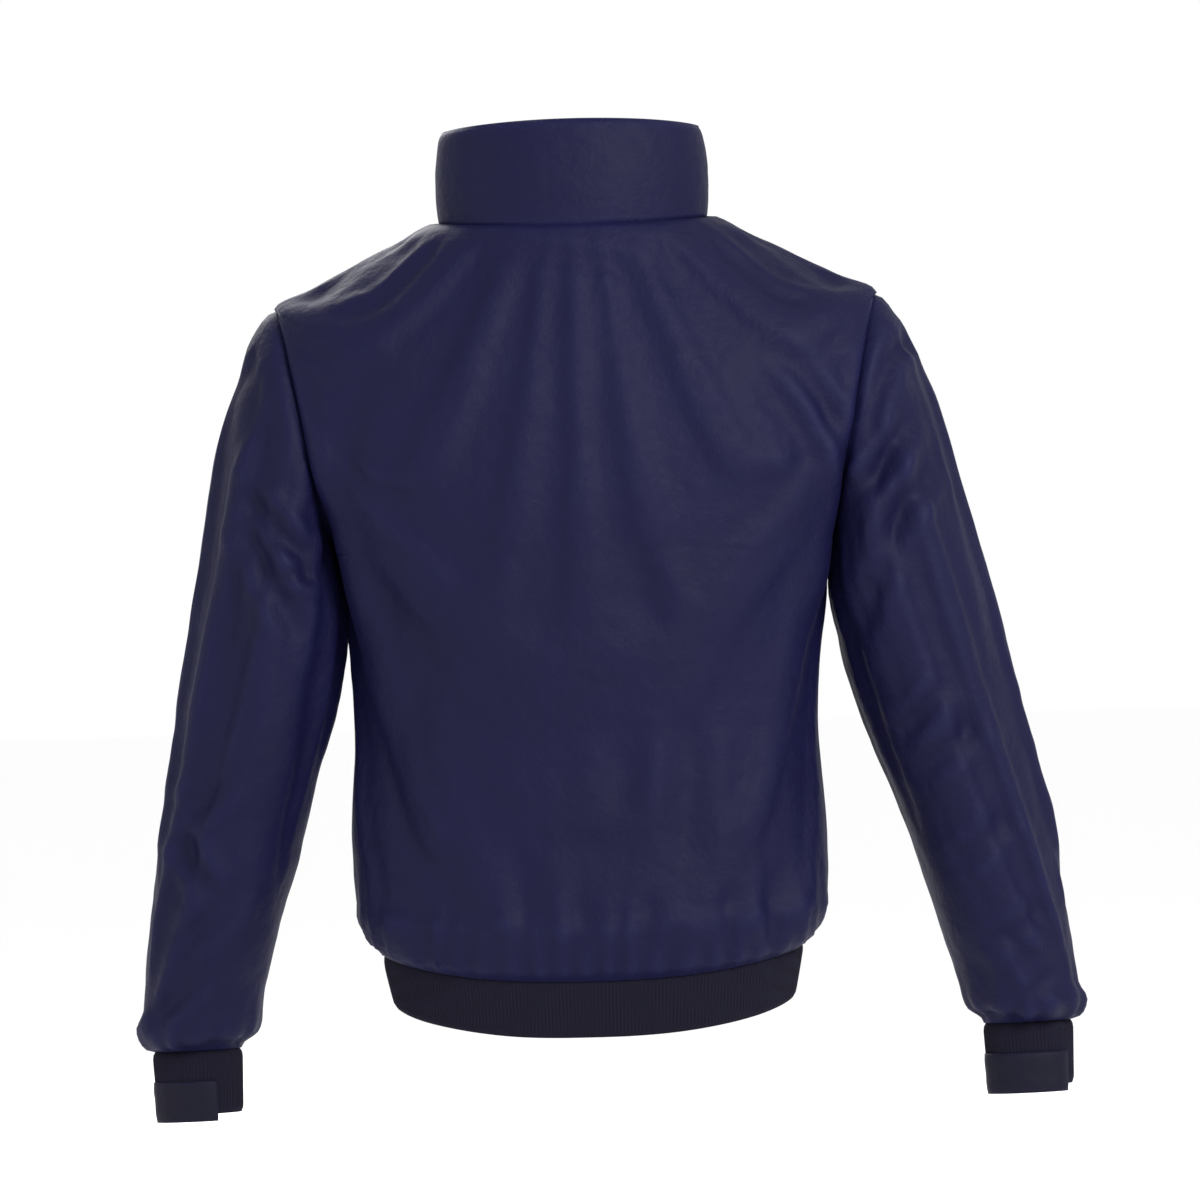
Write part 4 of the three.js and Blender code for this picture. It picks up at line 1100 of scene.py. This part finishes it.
# ---- Cuffs and their tabs ----
# Each cuff is the hem's rib knit, doubled. A tab of shell cloth is sewn to one side of it and wraps round to
# hold the cuff closed.
CUFF_TAPER = 2.0
TAB_WIDTH, TAB_THICK, TAB_OVERHANG = 34.0, 1.6, 6.0
TAB_ANGLES = {"left": (0.1, 2.0), "right": (3.05, 0.62)}


def cuff_grid(side, turn, ups, angles, grow=0.0):
    """Points of the cuff's outside by height above the sleeve's seam and angle round it."""
    centre = swung(np.array([WRIST_X, WRIST_Y, SHOULDER_Z - SLEEVE_DROP]), side, 1)
    lean = math.radians(SLEEVE_SPLAY[side])
    ups, angles = np.meshgrid(ups, angles, indexing="ij")
    half_width = CUFF_HALF_WIDTH + CUFF_TAPER * ups / CUFF_HEIGHT + grow
    half_depth = half_width - CUFF_HALF_WIDTH + CUFF_HALF_DEPTH
    x, y, z = half_width * np.cos(angles), half_depth * np.sin(angles), ups
    leant_x, leant_z = x * math.cos(lean) - z * math.sin(lean), x * math.sin(lean) + z * math.cos(lean)
    points = np.stack([leant_x, y, leant_z], -1) + centre
    points[..., 0] *= turn
    return points


# The tabs are a darker, duller cloth of the same weave.
# Its last colour is the painted highlight on the crests of folds and on edges.
dark_nylon = shell_cloth("woven_nylon_dark", "#0C0B1D", "#080716", "#131126")
CUFF_RIBS = 68
for side, turn in SIDES:
    angles = np.linspace(0, 2 * math.pi, CUFF_RIBS * 6, endpoint=False)
    grid = cuff_grid(side, turn, np.linspace(-CUFF_HEIGHT, -0.7, 15), angles if turn < 0 else angles[::-1])
    cuff = cloth_piece(f"cuff_{side}_rib", ribbed(grid, 6, True), knit, RIB_THICK, tube=True)
    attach(cuff, f"sleeve_{side}")
    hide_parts(f"cuff_{side}")
    cut_cloth(grid, tube=True)
    foot = -CUFF_HEIGHT - TAB_OVERHANG
    start, end = TAB_ANGLES[side]
    ups, round_cuff = np.linspace(foot, foot + TAB_WIDTH, 13), np.linspace(start, end, 40)
    tab_grid = cuff_grid(side, turn, ups, round_cuff, 0.4 + TAB_THICK)
    if (end - start) * turn > 0:
        tab_grid = tab_grid[:, ::-1]
    height = seam_pull(tab_grid, ["left", "right", "foot", "head"]) * 0.35
    tab = cloth_piece(f"cuff_tab_{side}_cloth", shaped(tab_grid, height), dark_nylon, TAB_THICK)
    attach(tab, f"cuff_tab_{side}")
    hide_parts(f"cuff_tab_{side}")
    cut_cloth(tab_grid)

# ---- Front zip ----
# A two-way moulded zip: polyester tapes, and separate acetal teeth that alternate from side to side.
# The tapes are sewn behind the folded front edges. Slider, puller and stops are zinc alloy.
TOOTH_PITCH = 2.9
ZIP_TRAVEL = 700.0  # mm that the slider moves down


def narrow_weave(name, spacing, waver, direction, dark, light, strength, distance):
    material, tree = new_material(name)
    place = in_piece(tree)
    threads = waves(tree, place, spacing, waver, direction)
    # The threads' relief also sets the colour, darker in the grooves between them and paler on their tops: painted
    # light and shade.
    colour = mixed(tree, threads, linear(dark), linear(light))
    bump = bumped(tree, threads, strength, distance)
    return finished(material, tree, {
        "Base Color": colour,
        "Roughness": 0.8,
        "Normal": bump,
        "IOR": 1.5,
    })


def moulded_acetal():
    material, tree = new_material("moulded_acetal_navy")
    place = in_piece(tree)
    scuffs = speckle(tree, place, 500.0, 3.0)
    rough = add(tree, "ShaderNodeMapRange", {"Value": scuffs, "To Min": 0.25, "To Max": 0.45})
    colour = mixed(tree, scuffs, linear("#15172A"), linear("#20243B"))
    return finished(material, tree, {
        "Base Color": colour,
        "Roughness": rough.outputs["Result"],
        "IOR": 1.48,
    })


def tumbled_zinc():
    material, tree = new_material("tumbled_zinc_alloy")
    place = in_piece(tree)
    wear = speckle(tree, place, 350.0, 4.0)
    rough = add(tree, "ShaderNodeMapRange", {"Value": wear, "To Min": 0.22, "To Max": 0.42})
    colour = mixed(tree, wear, linear("#77797D"), linear("#A3A5A8"))
    bump = bumped(tree, wear, 0.15, 0.0002)
    return finished(material, tree, {
        "Base Color": colour,
        "Metallic": 1.0,
        "Roughness": rough.outputs["Result"],
        "Normal": bump,
    })


tape = narrow_weave("zip_tape_polyester", 0.0009, 0.3, "DIAGONAL", "#131522", "#23263B", 0.5, 0.0002)
acetal, zinc = moulded_acetal(), tumbled_zinc()


def soft_edges(obj, width, segments=2):
    """Rounded edges, as moulding, tumbling or turned cloth leaves them."""
    bevel = obj.modifiers.new("rounded", "BEVEL")
    bevel.width, bevel.segments, bevel.limit_method, bevel.angle_limit = width, segments, "ANGLE", math.radians(35)


def finish_node(name, material, width):
    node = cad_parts[name]
    node.data.materials.clear()
    node.data.materials.append(material)
    soft_edges(node, width)
    return node


def stand_in(name, node, material, width, body_name=None):
    """A softened copy of a small sewn piece in place of its plain solid."""
    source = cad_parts[node]
    obj = bpy.data.objects.new(name, source.data.copy())
    bpy.context.scene.collection.objects.link(obj)
    obj.data.materials.clear()
    obj.data.materials.append(material)
    soft_edges(obj, width, 3)
    if body_name:
        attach(obj, body_name)
    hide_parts(node)
    return obj


def tooth_row(side, turn):
    """One row of teeth: each has a head that reaches past the centre line, and a narrower neck."""
    low, high = (np.array(v) * 1000 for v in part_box(f"zip_teeth_{side}"))
    slider_low, slider_high = (v[2] * 1000 - ZIP_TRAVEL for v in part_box("zip_slider"))
    points, faces = [], []
    z = low[2] + 1.4 + (0 if side == "left" else TOOTH_PITCH / 2)
    while z < high[2] - 0.8:
        back = zip_y(z) + 4.7
        front = back - 2.5
        half = [(-0.85, 0.42), (-0.35, 0.68), (0.7, 0.62), (5.2, 0.7)]
        outline = half + [(x, -dz) for x, dz in half[::-1]]
        # Teeth are narrowed only where the slider stands when fully lowered. Everywhere else its plates and
        # post pass through them as it slides.
        if slider_low - 2 < z < slider_high + 2:
            outline = [(min(max(x, 0.65), 3.35), dz) for x, dz in outline]
        first = len(points)
        for y, shrink in ((front, 0.86), (front + 0.35, 1.0), (back - 0.35, 1.0), (back, 0.86)):
            points += [(turn * (1.2 + (x - 1.2) * shrink), y, z + dz * shrink) for x, dz in outline]
        for layer in range(3):
            for k in range(8):
                a, b = first + layer * 8 + k, first + layer * 8 + (k + 1) % 8
                faces.append([a, a + 8, b + 8, b] if turn > 0 else [a, b, b + 8, a + 8])
        front_face, back_face = [first + k for k in range(8)], [first + 24 + k for k in range(8)]
        faces += [front_face, back_face[::-1]] if turn > 0 else [front_face[::-1], back_face]
        z += TOOTH_PITCH
    return mesh_piece(f"zip_teeth_{side}_row", np.array(points), faces, acetal)


for side, turn in SIDES:
    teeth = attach(tooth_row(side, turn), f"front_{side}")
    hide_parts(f"zip_teeth_{side}")
    woven = stand_in(f"zip_tape_{side}_woven", f"zip_tape_{side}", tape, 0.0002, f"front_{side}")
    finish_node(f"zip_top_stop_{side}", zinc, 0.0003)
finish_node("zip_retainer_box", acetal, 0.0004)
finish_node("zip_pin", acetal, 0.0004)
finish_node("zip_slider", zinc, 0.0003)
finish_node("zip_puller", zinc, 0.0003)

# ---- Hand pockets ----
# A welt of shell cloth frames each slanting pocket. A closed coil zip lies in it, and a flat bag of the
# lining taffeta hangs behind, between the shell and the fleece.
BAG_LOW, BAG_HIGH, BAG_INNER, BAG_OUTER = -605.0, -470.0, 126.0, 184.0
for side, turn in SIDES:
    welt = stand_in(f"pocket_welt_{side}_cloth", f"pocket_welt_{side}", woven_nylon, 0.0011, "garment")
    stand_in(f"pocket_zip_{side}_coil", f"pocket_zip_{side}", tape, 0.0003, "garment")
    pattern = side_base if side == "left" else mirrored(side_base)
    rows = np.flatnonzero((pattern[:, 0, 2] > BAG_LOW) & (pattern[:, 0, 2] < BAG_HIGH))
    middle_row = pattern[rows[len(rows) // 2]]
    reach = np.abs(middle_row[:, 0])
    columns = np.flatnonzero((reach > BAG_INNER) & (reach < BAG_OUTER) & (middle_row[:, 1] < SIDE_Y - 20))
    part = (slice(rows[0], rows[-1] + 1), slice(columns[0], columns[-1] + 1))
    bag = cloth_piece(f"pocket_bag_{side}_taffeta", side_points[side][part], taffeta, 1.2, depth=1.7)
    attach(bag, "garment")
    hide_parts(f"pocket_bag_{side}")
    cut_cloth(pattern[part])
    finish_node(f"pocket_slider_{side}", zinc, 0.0002)
    finish_node(f"pocket_puller_{side}", zinc, 0.0002)

# ---- Hanger loop and inner pocket ----
# The loop is narrow polyester webbing, sewn into the neck seam inside the collar. The patch pocket is
# taffeta, sewn flat to the fleece of the wearer's left front.
webbing = narrow_weave("narrow_webbing", 0.0011, 0.2, "X", "#10121F", "#242740", 0.6, 0.0003)
stand_in("hanger_loop_webbing", "hanger_loop", webbing, 0.0004, "garment")
pocket = stand_in("inner_pocket_taffeta", "inner_pocket", taffeta, 0.0003)
swings_with_front(pocket)

# ---- Floor, light and camera ----
# A plain pale floor, three large soft lamps and a white sky. The camera looks level at the jacket's back
# through a long lens, rolled by the small lean at which the jacket hangs.
floor_mesh = bpy.data.meshes.new("floor")
floor_z = cad_low.z - 0.09
corners = [(-40, -40), (40, -40), (40, 40), (-40, 40)]
floor_mesh.from_pydata([(x, y, floor_z) for x, y in corners], [], [(0, 1, 2, 3)])
floor = bpy.data.objects.new("floor", floor_mesh)
bpy.context.scene.collection.objects.link(floor)
pale, pale_tree = new_material("pale_floor")
floor.data.materials.append(finished(pale, pale_tree, {"Base Color": linear("#FDFDFD"), "Roughness": 1.0}))

world = bpy.data.worlds.new("pale_sky")
bpy.context.scene.world = world
world.use_nodes = True
world.node_tree.nodes["Background"].inputs["Color"].default_value = (1, 1, 1, 1)
world.node_tree.nodes["Background"].inputs["Strength"].default_value = 1.0

middle = (cad_low + cad_high) / 2
for name, spot, size, power in (
    ("key", (-1.6, 2.4, 1.5), 1.2, 114),
    ("fill", (2.4, 1.5, 0.5), 1.6, 16),
    ("front", (0.9, -2.5, 1.7), 1.4, 60),
):
    lamp = bpy.data.lights.new(name, "AREA")
    lamp.size, lamp.energy = size, power
    holder = bpy.data.objects.new(name, lamp)
    bpy.context.scene.collection.objects.link(holder)
    holder.location = middle + Vector(spot)
    holder.rotation_euler = (-Vector(spot)).to_track_quat("-Z", "Y").to_euler()

CAMERA_GAP = 10.0  # m from the side seams' plane
VIEW_WIDTH = 1.008  # m across the view there
VIEW_X, VIEW_Z = -0.0137, -0.3375  # m, the view's middle
VIEW_ROLL = -1.626  # degrees
camera = bpy.data.cameras.new("camera")
camera.lens = camera.sensor_width * CAMERA_GAP / VIEW_WIDTH
holder = bpy.data.objects.new("camera", camera)
bpy.context.scene.collection.objects.link(holder)
level = Matrix(((-1, 0, 0), (0, 0, 1), (0, 1, 0))).to_4x4()
roll = Matrix.Rotation(math.radians(VIEW_ROLL), 4, "Z")
holder.matrix_world = Matrix.Translation((VIEW_X, SIDE_Y / 1000 + CAMERA_GAP, VIEW_Z)) @ level @ roll
bpy.context.scene.camera = holder
bpy.context.scene.view_settings.view_transform = "Standard"
